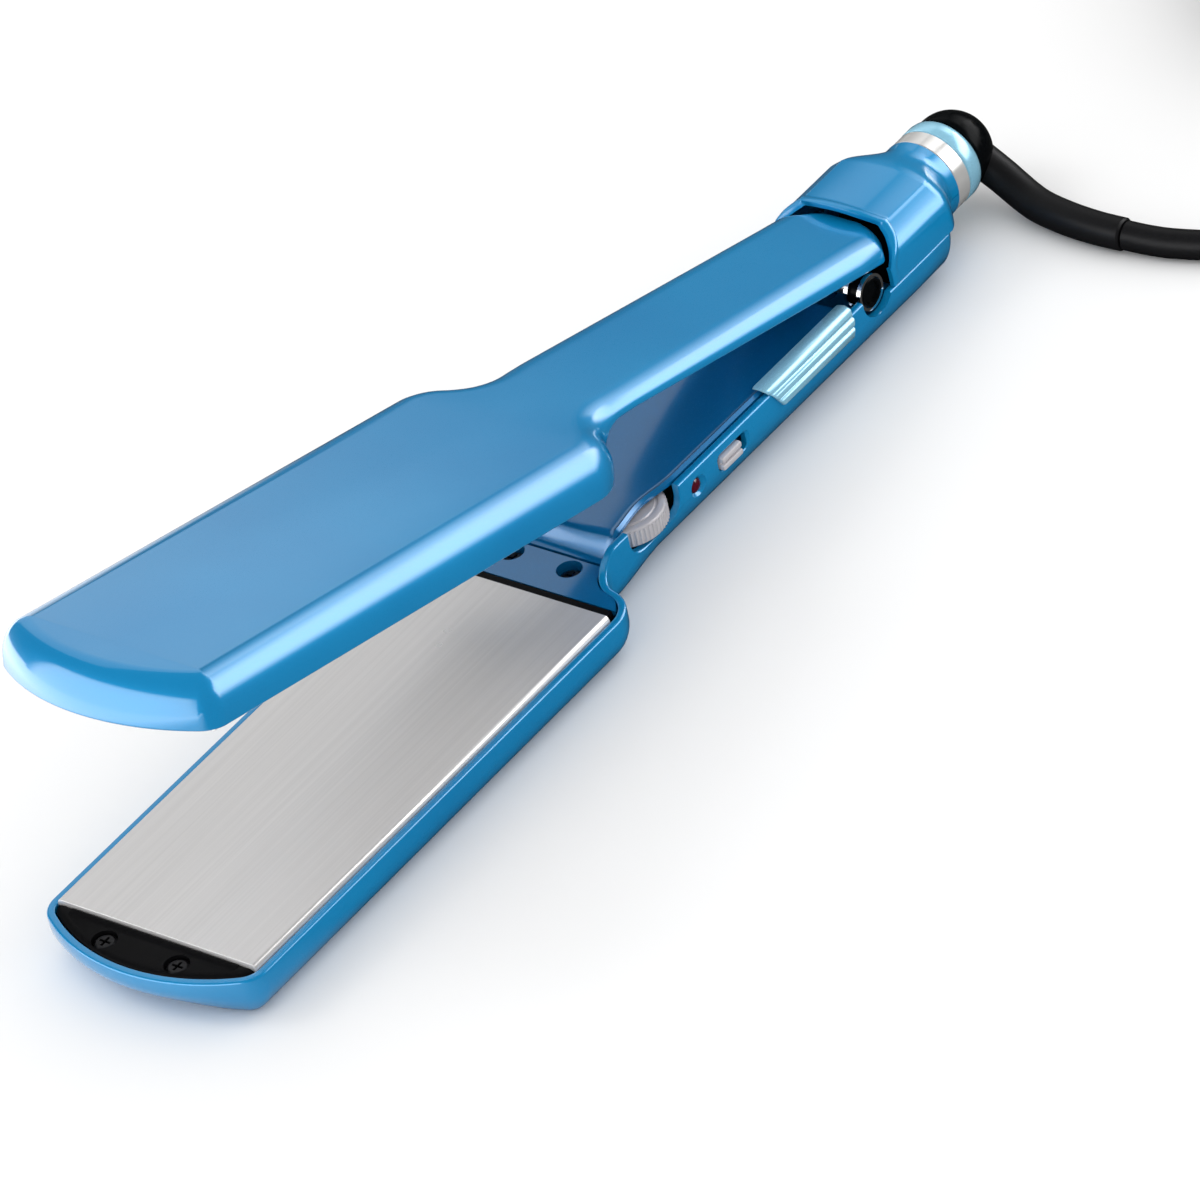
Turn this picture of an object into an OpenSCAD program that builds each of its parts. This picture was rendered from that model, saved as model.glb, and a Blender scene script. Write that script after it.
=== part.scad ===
// Hair straightening iron with wide plates: two hinged arms, a heated plate in each, a sprung hinge
// under a rear hood, and a mains cord on a swivel. Millimetres. +X runs from the plates to the cord,
// +Z is up, the controls are on the -Y side, and X = 0 is the inner end of the plates. The lower arm
// lies flat at Z = 0 and the upper arm stands open.

/* [Plates] */
// Width of the flat face of a plate
plate_w = 50; // [46:0.5:54]
// Length of a plate
plate_l = 122; // [110:1:130]
// Width of the rounded edge along each long side of a plate
plate_edge = 1.1; // [0.8:0.1:1.3]
// Thickness of a plate
plate_t = 1.6; // [1.2:0.1:2]
// Gap between the plates' faces when the arms are closed
closed_gap = 0.3; // [0.2:0.1:0.6]

/* [Arms] */
// Height of the lower plate's face over the underside
face_z = 12.5; // [12:0.1:13.5]
// Depth of the upper arm from its plate's face to its top
upper_depth = 12.3; // [12:0.1:13]
// Wall of the shells
wall = 1.8; // [1.5:0.1:2]
// Gap between a plate's edge and the shell around it
rim_gap = 0.2; // [0.2:0.1:0.5]
// Depth of the lower head's rim below the plate's face
lower_rim_drop = 3.2; // [2.8:0.1:3.6]
// Depth of the upper head's rim behind its plate's face
upper_rim_drop = 4; // [3.4:0.1:4.2]
// Radius of the long outer edges of the heads
head_edge_r = 8; // [7:0.5:8]
// Length of the heads beyond the plates
tip_len = 12; // [10:0.5:14]
// Radius of the tip's front curve
tip_arc_r = 46; // [42:1:60]
// Radius of the tip's corners
tip_corner_r = 9; // [8.5:0.5:10]
// Width of the lower handle
handle_w = 33; // [31:0.5:35]
// Radius of the lower handle's underside edges
handle_edge_r = 12; // [11:0.5:12]
// Height of the lower handle's side walls over the plate's face
handle_rim = 3.5; // [3:0.1:3.8]
// Width of the upper handle behind the shoulders
upper_handle_w = 31; // [30:0.2:32]
// Width of the upper handle at the hinge
upper_rear_w = 29.6; // [29:0.2:31]
// Width of the rounding along the upper handle's top edges
upper_edge_w = 6.5; // [5:0.5:7]
// Depth of the upper handle's sides behind the shoulders
upper_side = 4; // [3.8:0.1:4.4]
// Depth of the upper handle's sides at the hinge
upper_rear_side = 5.3; // [4.8:0.1:5.6]
// Inner and outer radius of the lower arm's shoulders
lower_shoulder = [5, 9];
// Inner and outer radius of the upper arm's shoulders
upper_shoulder = [14, 14];

/* [Hinge] */
// Distance of the hinge from the plates' inner end
hinge_x = 112.5; // [111:0.5:114]
// Height of the hinge over the lower plate's face
hinge_rise = 2.7; // [2.4:0.1:2.9]
// Angle between the arms at rest
open_angle = 13.7; // [10:0.1:16]
// Radius of the hinge pin
pin_r = 2; // [1.6:0.1:2.2]
// Running clearance between the pin and what turns on it
pin_clear = 0.05; // [0.03:0.01:0.1]
// Radius of the hinge bushes
bush_r = 4.2; // [3.9:0.1:4.3]
// Radius of the round notch in each side wall at the hinge
notch_r = 5.2; // [4.9:0.1:5.6]

/* [Rear housing] */
// Start of the hood's sides
hood_x = 118.7; // [118.2:0.1:119.2]
// End of the hood's full width
hood_rear = 141; // [138:0.5:144]
// Height of the hood's top over the plate's face
hood_top = 12.9; // [12.8:0.1:13.6]
// Wall of the hood
hood_wall = 1.3; // [1.1:0.1:1.4]
// Start of the chrome ring
ring_x = 152.6; // [151:0.2:155]
// Length of the chrome ring
ring_len = 4.7; // [4:0.1:6]
// Length of the coloured collar
collar_len = 5.2; // [4:0.1:6]
// Outer radius of the neck and the chrome ring
neck_r = 9.9; // [9.4:0.1:10.4]
// Height of the swivel's axis over the plate's face
swivel_rise = 1; // [0.6:0.1:1.4]
// Bore of the swivel bush
swivel_bore_r = 6.1; // [5.6:0.1:6.3]

/* [Controls] */
// Distance of the temperature dial from the plates' inner end
dial_x = 30; // [28:0.5:33]
// Radius of the temperature dial
dial_r = 9.5; // [9:0.1:10]
// Thickness of the temperature dial
dial_t = 4.6; // [4:0.1:4.8]
// How far the dial stands out of the handle's side
dial_proud = 0.9; // [0.5:0.1:1.3]
// Distance of the indicator lamp from the plates' inner end
led_x = 45.2; // [43:0.2:48]
// Radius of the indicator lamp
led_r = 1.6; // [1.3:0.1:1.9]
// Distance of the power switch from the plates' inner end
switch_x = 58; // [56:0.5:61]
// Length of the power switch's button
button_l = 7; // [6:0.5:8]
// Travel of the power switch's button
button_travel = 2.4; // [2:0.1:3]

/* [Cord] */
// Diameter of the mains cord
cord_d = 6.6; // [6.4:0.1:6.8]
// Turns in each of the coil's four layers
coil_turns = 2.5; // [2:0.5:3]

/* [Hidden] */
$fn = 48;

blue = [0.22, 0.52, 0.72];
light_blue = [0.5, 0.74, 0.87];
navy = [0.05, 0.14, 0.33];
black = [0.05, 0.05, 0.06];
titanium = [0.66, 0.65, 0.64];
chrome = [0.82, 0.82, 0.83];
steel = [0.6, 0.6, 0.62];

tip_rise = 1.7;                // rise of the lower head's underside at the tip
seat = 0.3;                    // clearance between pieces that only rest beside each other
rim_round = 0.6;               // rounding of a shell's rim
head_hw = plate_w / 2 + plate_edge + rim_gap + wall;
handle_hw = handle_w / 2;
upper_hw = upper_handle_w / 2;
upper_rear_hw = upper_rear_w / 2;
upper_handle_gap = upper_depth - upper_side;   // depth of the upper inner cover below the plate's face
tip_x = -plate_l - tip_len;
lower_rim_z = face_z - lower_rim_drop;
handle_rim_z = face_z + handle_rim;
seam_z = face_z + 0.2;         // seam between the lower shell and the hood
hinge_z = face_z + hinge_rise;
swivel_z = face_z + swivel_rise;
sleeve_r = swivel_bore_r + 1.4;   // inner radius of the neck, round the swivel bush
cover_t = 1;                   // thickness of the handle cover
cover_edge_z = face_z + 4.2;   // raised edge of the handle cover
cover_dish = 0.6;              // hollow of the handle cover's face
cover_hw = handle_hw - wall - seat;
cover_rear = 103.5;
upper_end = hood_x + 3.9;       // rear end of the upper handle, under the hood
land_z = face_z - 0.8;         // floor between the plate and the handle
land_x1 = 14.6;
ring_end = ring_x + ring_len;
collar_end = ring_end + collar_len;

// ---------------------------------------------------------------- outlines of the arms

// An arc as [x, half width, outward normal x, outward normal y]
function arc(cx, cy, r, a0, a1, n, side) = [
    for (i = [0:n]) let (a = a0 + (a1 - a0) * i / n)
        [cx + r * cos(a), cy + r * sin(a), side * cos(a), side * sin(a)]
];

// Shoulders between a handle of half width hw and the head, from the handle to the head
function shoulders(hw, radii, n) =
    let (rc = radii[0], rv = radii[1])
    let (dy = rc + rv - (head_hw - hw), dx = sqrt(pow(rc + rv, 2) - dy * dy), b = atan2(dy, dx))
    concat(
        arc(dx, hw + rc, rc, 270, 180 + b, n, -1),
        arc(0, head_hw - rv, rv, b, 90, n, 1)
    );

// The head's corner and the front curve, ending on the centre line
function tip_outline(n_corner, n_front) =
    let (cx = tip_x + tip_arc_r, cy = head_hw - tip_corner_r, reach = tip_arc_r - tip_corner_r)
    let (dx = sqrt(reach * reach - cy * cy), a = 180 - atan2(cy, dx))
    concat(
        arc(cx - dx, cy, tip_corner_r, 90, a, n_corner, 1),
        [for (p = arc(cx, 0, tip_arc_r, a, 180, n_front, 1)) if (p[1] > 0.001) p],
        [[tip_x, 0, -1, 0]]
    );

// Removes a point that repeats the one before it
function distinct(path) = [
    for (i = [0:len(path) - 1])
        if (i == 0 || norm([path[i][0] - path[i - 1][0], path[i][1] - path[i - 1][1]]) > 0.01) path[i]
];

function lerp(a, b, t) = a + (b - a) * t;
function ease(a, b, x) = let (t = max(0, min(1, (x - a) / (b - a)))) t * t * (3 - 2 * t);

// A closed polygon of the head inside the shell, set in by d, between x0 and x1
function inside(path, d, x0, x1) =
    let (half = [for (p = path) let (q = [p[0] - p[2] * d, p[1] - p[3] * d]) if (q[0] >= x0 && q[0] <= x1) q])
    concat(half, [for (i = [len(half) - 1:-1:0]) if (half[i][1] > 0.01) [half[i][0], -half[i][1]]]);

// ---------------------------------------------------------------- skins

// Joins rings of points into a solid. A ring is an outer path and, back again, an inner one.
// first and last say whether the ends are closed by a strip between the two paths.
module skin(rings, first = true, last = true) {
    n = len(rings[0]);
    k = n / 2;
    m = len(rings);
    points = [for (r = rings) for (p = r) p];
    sides = [
        for (i = [0:m - 2]) for (j = [0:n - 1])
            let (a = i * n + j, b = i * n + (j + 1) % n, c = a + n, d = b + n)
                each [[a, b, c], [b, d, c]]
    ];
    start = [
        for (j = [0:k - 2])
            let (a = j, b = j + 1, c = n - 1 - j, d = n - 2 - j)
                each [[a, c, b], [b, c, d]]
    ];
    o = (m - 1) * n;
    finish = [
        for (j = [0:k - 2])
            let (a = o + j, b = o + j + 1, c = o + n - 1 - j, d = o + n - 2 - j)
                each [[a, b, c], [b, d, c]]
    ];
    faces = concat(sides, first ? start : [], last ? finish : []);
    polyhedron(points, [
        for (f = faces)
            if (norm(points[f[0]] - points[f[1]]) > 0.001 && norm(points[f[1]] - points[f[2]]) > 0.001
                && norm(points[f[2]] - points[f[0]]) > 0.001) f
    ], convexity = 8);
}

// Half of a tray's section as [inset, height], from the floor to the rim, with an edge w wide and h high
edge_steps = 5;
function tray_outer(w, h, rim) = concat(
    [for (i = [0:edge_steps]) let (a = 90 * i / edge_steps) [w - w * sin(a), h - h * cos(a)]],
    [[0, rim - rim_round], [rim_round, rim]]
);
function tray_inner(w, h, rim, t) = concat(
    [for (i = [0:edge_steps]) let (a = 90 * i / edge_steps) [w - (w - t) * sin(a), h - (h - t) * cos(a)]],
    [[t, rim - rim_round], [t, rim]]
);

// Rise of the lower head's underside towards the tip
function tip_lift(x) = tip_rise * ease(tip_x + 12, tip_x + 1, x);

// One ring of a tray at the outline point p: near rim, floor, far rim, and back inside
function tray_ring(p, outer, inner) =
    let (
        out = [for (q = outer) [p[0] - p[2] * q[0], p[1] - p[3] * q[0], q[1]]],
        inn = [for (q = inner) [p[0] - p[2] * q[0], p[1] - p[3] * q[0], q[1]]],
        n = len(out)
    )
    concat(
        [for (i = [n - 1:-1:0]) [out[i][0], -out[i][1], out[i][2]]],
        [[out[0][0], 0, out[0][2]]],
        out,
        [for (i = [n - 1:-1:0]) inn[i]],
        [[inn[0][0], 0, inn[0][2]]],
        [for (q = inn) [q[0], -q[1], q[2]]]
    );

// Turns a section towards a round tube: each point goes to its place on a circle
function rounded(ring, t, r_out, r_in, zc, span) =
    let (n = len(ring), k = n / 2)
    [for (j = [0:n - 1])
        let (outside = j < k, u = outside ? j / (k - 1) : (n - 1 - j) / (k - 1))
        let (a = -span + 2 * span * u, r = outside ? r_out : r_in, y = r * sin(a), z = zc - r * cos(a))
            [ring[j][0], lerp(ring[j][1], y, t), lerp(ring[j][2], z, t)]];

// ---------------------------------------------------------------- lower arm

// Stations along the lower handle, closer together where it turns round and where its rim falls
lower_stations = [
    ring_x, 150.5, 148.5, 146.5, 144.5, 142.5, hood_rear - 2, hinge_x + 0.2, hinge_x - 0.2,
    70, 36, 31, 27, 24, 20, 17, 14.6
];
lower_path = distinct(concat(
    [for (x = lower_stations) [x, handle_hw, 0, 1]],
    shoulders(handle_hw, lower_shoulder, 6),
    tip_outline(4, 6)
));

function lower_rim(x) = x > hinge_x ? seam_z : lerp(lower_rim_z, handle_rim_z, ease(8.5, 16.5, x));
function lower_edge(x) = lerp(head_edge_r, handle_edge_r, ease(14, 34, x));

function lower_ring(p) =
    let (r = lower_edge(p[0]), rim = lower_rim(p[0]))
    let (flat = tray_ring(p, tray_outer(r, r, rim), tray_inner(r, r, rim, wall)))
    let (ring = [for (q = flat) q + [0, 0, tip_lift(q[0]) * (1 - q[2] / rim)]])
    let (t = ease(hood_rear - 3, ring_x - 3, p[0]))
    let (span = acos((swivel_z - seam_z) / neck_r))
    p[0] > hood_rear - 2.9 ? rounded(ring, t, neck_r, sleeve_r, swivel_z, span) : ring;

// Window for the dial, cut down from the rim of the near side wall
module dial_window() {
    translate([dial_x - 9, -handle_hw - 2, dial_z - 0.6]) cube([18, wall + 3.5, 12]);
}

module hinge_notches() {
    translate([hinge_x, -handle_hw - 1, hinge_z]) rotate([-90, 0, 0]) cylinder(r = notch_r, h = handle_w + 2);
}

ear_y0 = 8.6;
ear_t = 1.8;

// Ears that carry the hinge pin, standing on the floor of the lower shell
module hinge_ears() {
    for (s = [-1, 1]) translate([hinge_x, s * (ear_y0 + ear_t / 2) - ear_t / 2, 0]) {
        difference() {
            union() {
                translate([0, 0, hinge_z]) rotate([-90, 0, 0]) cylinder(r = bush_r - 0.1, h = ear_t);
                translate([-bush_r + 0.1, 0, 1.5]) cube([2 * bush_r - 0.2, ear_t, hinge_z - 1.5]);
            }
            translate([0, -1, hinge_z]) rotate([-90, 0, 0]) cylinder(r = pin_r, h = ear_t + 2);
        }
    }
}

board_z = 5.6;                 // underside of the control board
lamp_fit = 0.1;                // clearance of the lamp in its hole
lamp_dish = 0.8;               // width of the shallow dish round the lamp
board_posts = [[22, -7], [22, 7], [64, -7], [64, 7]];

module lower_shell() {
    color(blue) {
        difference() {
            skin([for (p = lower_path) lower_ring(p)], true, false);
            dial_window();
            hinge_notches();
            translate([led_x, -handle_hw - 1, control_z]) rotate([-90, 0, 0])
                cylinder(r = led_r + lamp_fit, h = wall + 2);
            translate([led_x, -handle_hw - 1, control_z]) rotate([-90, 0, 0])
                cylinder(r = led_r + lamp_dish, h = 1.5);
            translate([switch_x - window_l / 2, -handle_hw - 1, control_z - button_h / 2 - seat])
                cube([window_l, wall + 3, button_h + 2 * seat]);
        }
        hinge_ears();
        tip_posts(face_z);
        for (p = board_posts) translate([p[0], p[1], 1.5]) cylinder(r = 2, h = board_z - 1.5);
        for (s = [-1, 1]) translate([screw_x, s * screw_y, 1.5]) difference() {
            cylinder(r = 3, h = land_z - 4.3 - 1.5);
            translate([0, 0, 3]) cylinder(r = screw_r, h = 10);
        }
    }
}

// Cover of the lower handle: a land behind the plate and a shallow dished face with raised edges
cover_steps = 8;
dial_notch = 11;               // half length of the notch in the cover's edge beside the dial
dial_notch_w = 1.3;
function cover_half(x) =
    let (before = ease(dial_x - dial_notch, dial_x, x), behind = ease(dial_x, dial_x + dial_notch, x))
    cover_hw - dial_notch_w * before * (1 - behind);
function cover_ring(x) =
    let (hw = abs(x - dial_x) > dial_notch ? cover_hw : cover_half(x))
    let (rise = ease(land_x1, land_x1 + 6, x), top = lerp(land_z, cover_edge_z, rise))
    let (top_path = [for (i = [-cover_steps:cover_steps]) let (u = i / cover_steps)
        [x, hw * u, top - cover_dish * rise * (1 - pow(u, 2))]])
    concat(top_path, [for (i = [len(top_path) - 1:-1:0]) top_path[i] - [0, 0, cover_t]]);

module handle_cover() {
    stations = concat(
        [for (d = [-0.05, 1, 2, 4, 5, 6]) land_x1 + d],
        [22, 24, 26, 28, dial_x, 32, 34, 36.5, 39, dial_x + dial_notch, cover_rear]
    );
    color(navy) {
        difference() {
            translate([0, 0, land_z - cover_t]) linear_extrude(cover_t)
                polygon(inside(lower_path, wall + seat, plate_gap + carrier_lip, land_x1));
            for (s = [-1, 1]) translate([screw_x, s * screw_y, land_z - 3])
                cylinder(r = screw_head_r + seat, h = 6);
        }
        skin([for (x = stations) cover_ring(x)]);
        for (s = [-1, 1]) translate([screw_x, s * screw_y, land_z - 4.2]) difference() {
            cylinder(r = screw_head_r + 1.3, h = 3.4);
            translate([0, 0, 1]) cylinder(r = screw_head_r + seat, h = 6);
            translate([0, 0, -1]) cylinder(r = screw_r + 0.2, h = 4);
        }
    }
}

// Hood over the hinge: half of its outer section from the seam to the middle, set in by d
hood_top_z = face_z + hood_top;
function hood_half(top, d) = [
    [handle_hw - d, seam_z + 0.2], [handle_hw - d, top - 10.2], [handle_hw - 0.2 - d, top - 8.6],
    [handle_hw - 1 - d, top - 6.7 - 0.2 * d], [handle_hw - 2.5 - d, top - 4.9 - 0.4 * d],
    [handle_hw - 4.1 - 0.9 * d, top - 3.3 - 0.7 * d], [handle_hw - 5.4 - 0.6 * d, top - 1.7 - d],
    [handle_hw - 10, top - 0.6 - d], [0, top - d]
];
function mirrored(half) = concat([for (q = half) [-q[0], q[1]]], [for (i = [len(half) - 2:-1:0]) half[i]]);

// How far the hood's front edge is swept back at a height below its top
function hood_sweep(below) =
    lookup(below, [[0, 5.1], [0.6, 5.3], [1.7, 6.1], [3.3, 5.1], [4.9, 3.3], [6.7, 1.4], [8.6, 0]]);
function hood_ring(x, swell) =
    let (
        out = mirrored(hood_half(hood_top_z + swell, -swell / 2)),
        inn = mirrored(hood_half(hood_top_z, hood_wall)),
        n = len(out),
        swept = 1 - ease(hood_x + 3, hood_rear - 3, x)
    )
    let (ring = concat(
        [for (q = out) [x + swept * hood_sweep(hood_top_z - q[1]), q[0], q[1]]],
        [for (i = [n - 1:-1:0]) [x + swept * hood_sweep(hood_top_z - out[i][1]), inn[i][0], inn[i][1]]]
    ))
    x > hood_rear ? hood_round(ring, ease(hood_rear - 1, ring_x - 2, x)) : ring;
function hood_round(ring, t) =
    let (n = len(ring), k = n / 2, span = 180 - acos((swivel_z - seam_z - 0.2) / neck_r))
    [for (j = [0:n - 1])
        let (outside = j < k, u = outside ? j / (k - 1) : (n - 1 - j) / (k - 1))
        let (a = -span + 2 * span * u, r = outside ? neck_r : sleeve_r)
            [ring[j][0], lerp(ring[j][1], r * sin(a), t), lerp(ring[j][2], swivel_z + r * cos(a), t)]];

module hinge_hood() {
    // The front lip as [x, swell], and the plain stations behind it
    lip = [[hood_x, -0.3], [hood_x + 0.4, 0.2], [hood_x + 1.6, 0.2], [hood_x + 2, 0]];
    plain = [hood_x + 6, hood_x + 12, hood_rear - 3, hood_rear, 143, 144.5, 146, 147.5, 149, 150.6, ring_x];
    color(blue) skin([for (q = concat(lip, [for (x = plain) [x, 0]])) hood_ring(q[0], q[1])]);
}

// Grip panel over one edge of the lower handle, with ridges along it
grip_x0 = 71.4;
grip_x1 = 103.6;
function grip_section() = [
    [handle_hw + 0.7, face_z - 1.4], [handle_hw + 1, face_z - 0.6], [handle_hw + 1.1, face_z + 0.6],
    [handle_hw + 0.5, face_z + 1.1], [handle_hw + 1, face_z + 1.7], [handle_hw + 0.9, face_z + 2.9],
    [handle_hw + 0.2, face_z + 3.5], [handle_hw + 0.3, face_z + 4.3], [handle_hw - 0.5, face_z + 5.1],
    [handle_hw - 2, face_z + 5.5], [cover_hw - 1.6, face_z + 5.2]
];
function grip_inner() = [
    [handle_hw + 0.1, face_z - 1.4], [handle_hw + 0.1, face_z - 0.6], [handle_hw + 0.1, face_z + 0.6],
    [handle_hw + 0.1, face_z + 1.1], [handle_hw + 0.1, face_z + 1.7], [handle_hw + 0.1, face_z + 2.4],
    [handle_hw + 0.1, face_z + 3], [handle_hw + 0.1, face_z + 3.7], [handle_hw - 0.8, face_z + 4.4],
    [handle_hw - 2.2, face_z + 4.5], [cover_hw - 1.6, face_z + 4.5]
];
function grip_ring(x, slant) =
    let (out = grip_section(), inn = grip_inner(), n = len(out), low = face_z - 1.4, high = face_z + 5.5)
    concat(
        [for (q = out) [x + slant * (high - q[1]) / (high - low), -q[0], q[1]]],
        [for (i = [n - 1:-1:0]) [x + slant * (high - inn[i][1]) / (high - low), -inn[i][0], inn[i][1]]]
    );
module grip() {
    skin([grip_ring(grip_x0, 4.6), grip_ring(grip_x1, -1.5)]);
}
module near_grip() {
    color(light_blue) grip();
}
module far_grip() {
    color(light_blue) mirror([0, 1, 0]) grip();
}

// ---------------------------------------------------------------- heated heads

plate_gap = 0.2;               // between a plate's ends and the plastic beside them
carrier_lip = 2;               // strip of the carrier that shows behind the plate
skirt = 2.9;                   // depth of a plate's rounded sides below its face
heater_t = 1.2;
heater_w = 20;
heater_l = 90;
clamp_t = 1.5;

// A plate's section: flat face, rounded long edges, and a skirt down each side
module plate_section() {
    hw = plate_w / 2;
    side = [for (i = [0:4]) let (a = 90 - 90 * i / 4) [hw + plate_edge * cos(a), 1.5 * sin(a) - 1.5]];
    under = [[hw + plate_edge, -skirt], [hw + plate_edge - 0.9, -skirt], [hw + plate_edge - 0.9, -plate_t]];
    near = concat(side, under);
    polygon(concat(near, [for (i = [len(near) - 1:-1:0]) [-near[i][0], near[i][1]]]));
}

// Everything in a head that both arms share, drawn with the plate's face at Z = 0 and the arm below it
module head_plate() {
    rotate([90, 0, -90]) linear_extrude(plate_l) plate_section();
}

carrier_top = -plate_t - 0.1;
carrier_side = 6.2;            // depth of a carrier's straight sides below the plate's face
pocket_w = heater_w + 8;

function carrier_floor(depth) = -depth + wall + 0.02;
pocket_floor = 1.6;            // thickness of a carrier under its heater

module head_carrier(depth) {
    hw = plate_w / 2 + plate_edge - 0.9 - 0.1;
    floor_z = carrier_floor(depth);
    sole = head_hw - head_edge_r - 0.8;
    half = [[sole, floor_z], [hw, floor_z + 3.4], [hw, carrier_top]];
    section = concat([for (i = [2:-1:0]) [-half[i][0], half[i][1]]], half);
    difference() {
        union() {
            translate([-0.1, 0, 0]) rotate([90, 0, -90]) linear_extrude(plate_l - 2.6) polygon(section);
            translate([-plate_l, -hw, -carrier_side])
                cube([plate_l + plate_gap + carrier_lip - 0.02, 2 * hw, carrier_side + carrier_top]);
            translate([plate_gap, -plate_w / 2, carrier_top - 1])
                cube([carrier_lip - 0.02, plate_w, 0.4 - carrier_top]);
        }
        translate([-plate_l / 2 - heater_l / 2 - 3, -pocket_w / 2, floor_z + pocket_floor])
            cube([heater_l + 6, pocket_w, 20]);
    }
}

module head_heater() {
    translate([-plate_l / 2 - heater_l / 2, -heater_w / 2, -plate_t - heater_t])
        cube([heater_l, heater_w, heater_t]);
}

// Clamp bar that holds the heater against the plate, with a rib along its middle
module head_clamp(depth) {
    bottom = carrier_floor(depth) + pocket_floor;
    top = -plate_t - heater_t;
    translate([-plate_l / 2 - heater_l / 2 + 2, -heater_w / 2 - 2, top - clamp_t])
        cube([heater_l - 4, heater_w + 4, clamp_t]);
    for (x = [-0.35, 0, 0.35]) translate([-plate_l / 2 + x * heater_l - 3, -3, bottom])
        cube([6, 6, top - clamp_t - bottom + 0.1]);
}

fuse_r = 1.6;
fuse_l = 11;
fuse_lead = 4;                 // length of the fuse's stub at each end
fuse_x = -plate_l / 2 + 12;

// Thermal fuse lying in the pocket, between the clamp's ribs
module head_fuse(depth) {
    z = carrier_floor(depth) + pocket_floor + fuse_r + 0.05;
    translate([fuse_x, 0, z]) rotate([0, 90, 0]) cylinder(r = fuse_r, h = fuse_l);
    for (x = [-fuse_lead, fuse_l]) translate([fuse_x + x, 0, z]) rotate([0, 90, 0])
        cylinder(r = 0.5, h = fuse_lead);
}

screw_r = 1.3;
screw_head_r = 2.6;
screw_x = 10.5;
upper_screw_x = screw_x + 3;
screw_y = 7.7;
tip_screw_x = tip_x + 6.8;
tip_screw_y = 9.5;
tip_screw_drop = 0.9;

// D-shaped cap of the tip with a sloping edge, counterbores for two screws and a raised line beside the plate
cap_top = -1.5;
cap_floor = -6.4;
cap_slope = 1.8;               // width of the cap's sloping edge
module head_tip_cap(rim_drop) {
    x1 = -plate_l - plate_gap;
    difference() {
        union() {
            hull() {
                translate([0, 0, -rim_drop - 0.9]) linear_extrude(1)
                    polygon(inside(lower_path, wall + seat, tip_x, x1));
                translate([0, 0, cap_top - 0.5]) linear_extrude(0.5)
                    polygon(inside(lower_path, wall + seat + cap_slope, tip_x, x1));
            }
            translate([0, 0, cap_floor]) linear_extrude(2.8)
                polygon(inside(lower_path, wall + seat + 2, tip_x, x1));
            translate([x1 - 1.3, -plate_w / 2 + 3.5, -2]) cube([1.3, plate_w - 7, 1.4]);
        }
        for (s = [-1, 1]) translate([tip_screw_x, s * tip_screw_y, 0]) {
            translate([0, 0, cap_top - 1.5]) cylinder(r = screw_head_r + 0.2, h = 5);
            translate([0, 0, cap_floor - 1]) cylinder(r = screw_r + 0.1, h = 8);
        }
    }
}

// Posts in a shell for the tip's screws, from the floor to the cap
module tip_posts(depth) {
    for (s = [-1, 1]) translate([tip_screw_x, s * tip_screw_y, 2.3]) difference() {
        cylinder(r = 2.3, h = depth + cap_floor - 2.3);
        translate([0, 0, 1.3]) cylinder(r = screw_r, h = 10);
    }
}

// A pan-head screw with a cross recess; its head's top is at z = 0
module screw(length) {
    difference() {
        union() {
            translate([0, 0, -1.3]) cylinder(r = screw_head_r, h = 1.3);
            translate([0, 0, -length]) cylinder(r = screw_r, h = length);
        }
        for (a = [0, 90]) rotate([0, 0, a]) translate([-1.5, -0.3, -0.8]) cube([3, 0.6, 1]);
    }
}

module tip_screw_pair(depth) {
    for (s = [-1, 1]) translate([tip_screw_x, s * tip_screw_y, cap_top - 0.2]) screw(depth - 5.4);
}

// ---------------------------------------------------------------- lower head's pieces

module on_lower() {
    translate([0, 0, face_z]) children();
}
module lower_plate() {
    color(titanium) on_lower() head_plate();
}
module lower_plate_carrier() {
    color(black) on_lower() head_carrier(face_z);
}
module lower_tip_cap() {
    color(black) on_lower() head_tip_cap(lower_rim_drop);
}
module lower_heater() {
    color([0.9, 0.88, 0.82]) on_lower() head_heater();
}
module lower_heater_clamp() {
    color(steel) on_lower() head_clamp(face_z);
}
module lower_thermal_fuse() {
    color([0.75, 0.6, 0.35]) on_lower() head_fuse(face_z);
}
module lower_tip_screws() {
    color(black) on_lower() tip_screw_pair(face_z);
}
module lower_neck_screws() {
    color(steel) for (s = [-1, 1]) translate([screw_x, s * screw_y, land_z - 1.9]) screw(5);
}

// ---------------------------------------------------------------- controls

control_z = face_z - 1.2;
dial_z = board_z + 4.2;
dial_y = -handle_hw - dial_proud + dial_r;
window_l = button_l + button_travel + 0.8;
button_h = 3.4;
board_x = 20;
board_l = 47;
board_w = 18;
board_t = 1.6;
board_hole_r = 0.8;
pot_w = 10;                    // side of the potentiometer's square body
pot_h = 2.2;
shaft_r = 1.5;
dial_bore_r = 1.55;

module control_board() {
    color([0.1, 0.4, 0.2]) difference() {
        translate([board_x, -board_w / 2, board_z]) cube([board_l, board_w, board_t]);
        for (p = board_posts) translate([p[0], p[1], board_z - 1]) cylinder(r = board_hole_r, h = 4);
    }
}
module dial_potentiometer() {
    color([0.2, 0.2, 0.22]) {
        translate([dial_x - pot_w / 2, dial_y - pot_w / 2, board_z + board_t]) cube([pot_w, pot_w, pot_h]);
        translate([dial_x, dial_y, board_z + 3]) cylinder(r = shaft_r, h = dial_z - board_z);
    }
}

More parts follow.
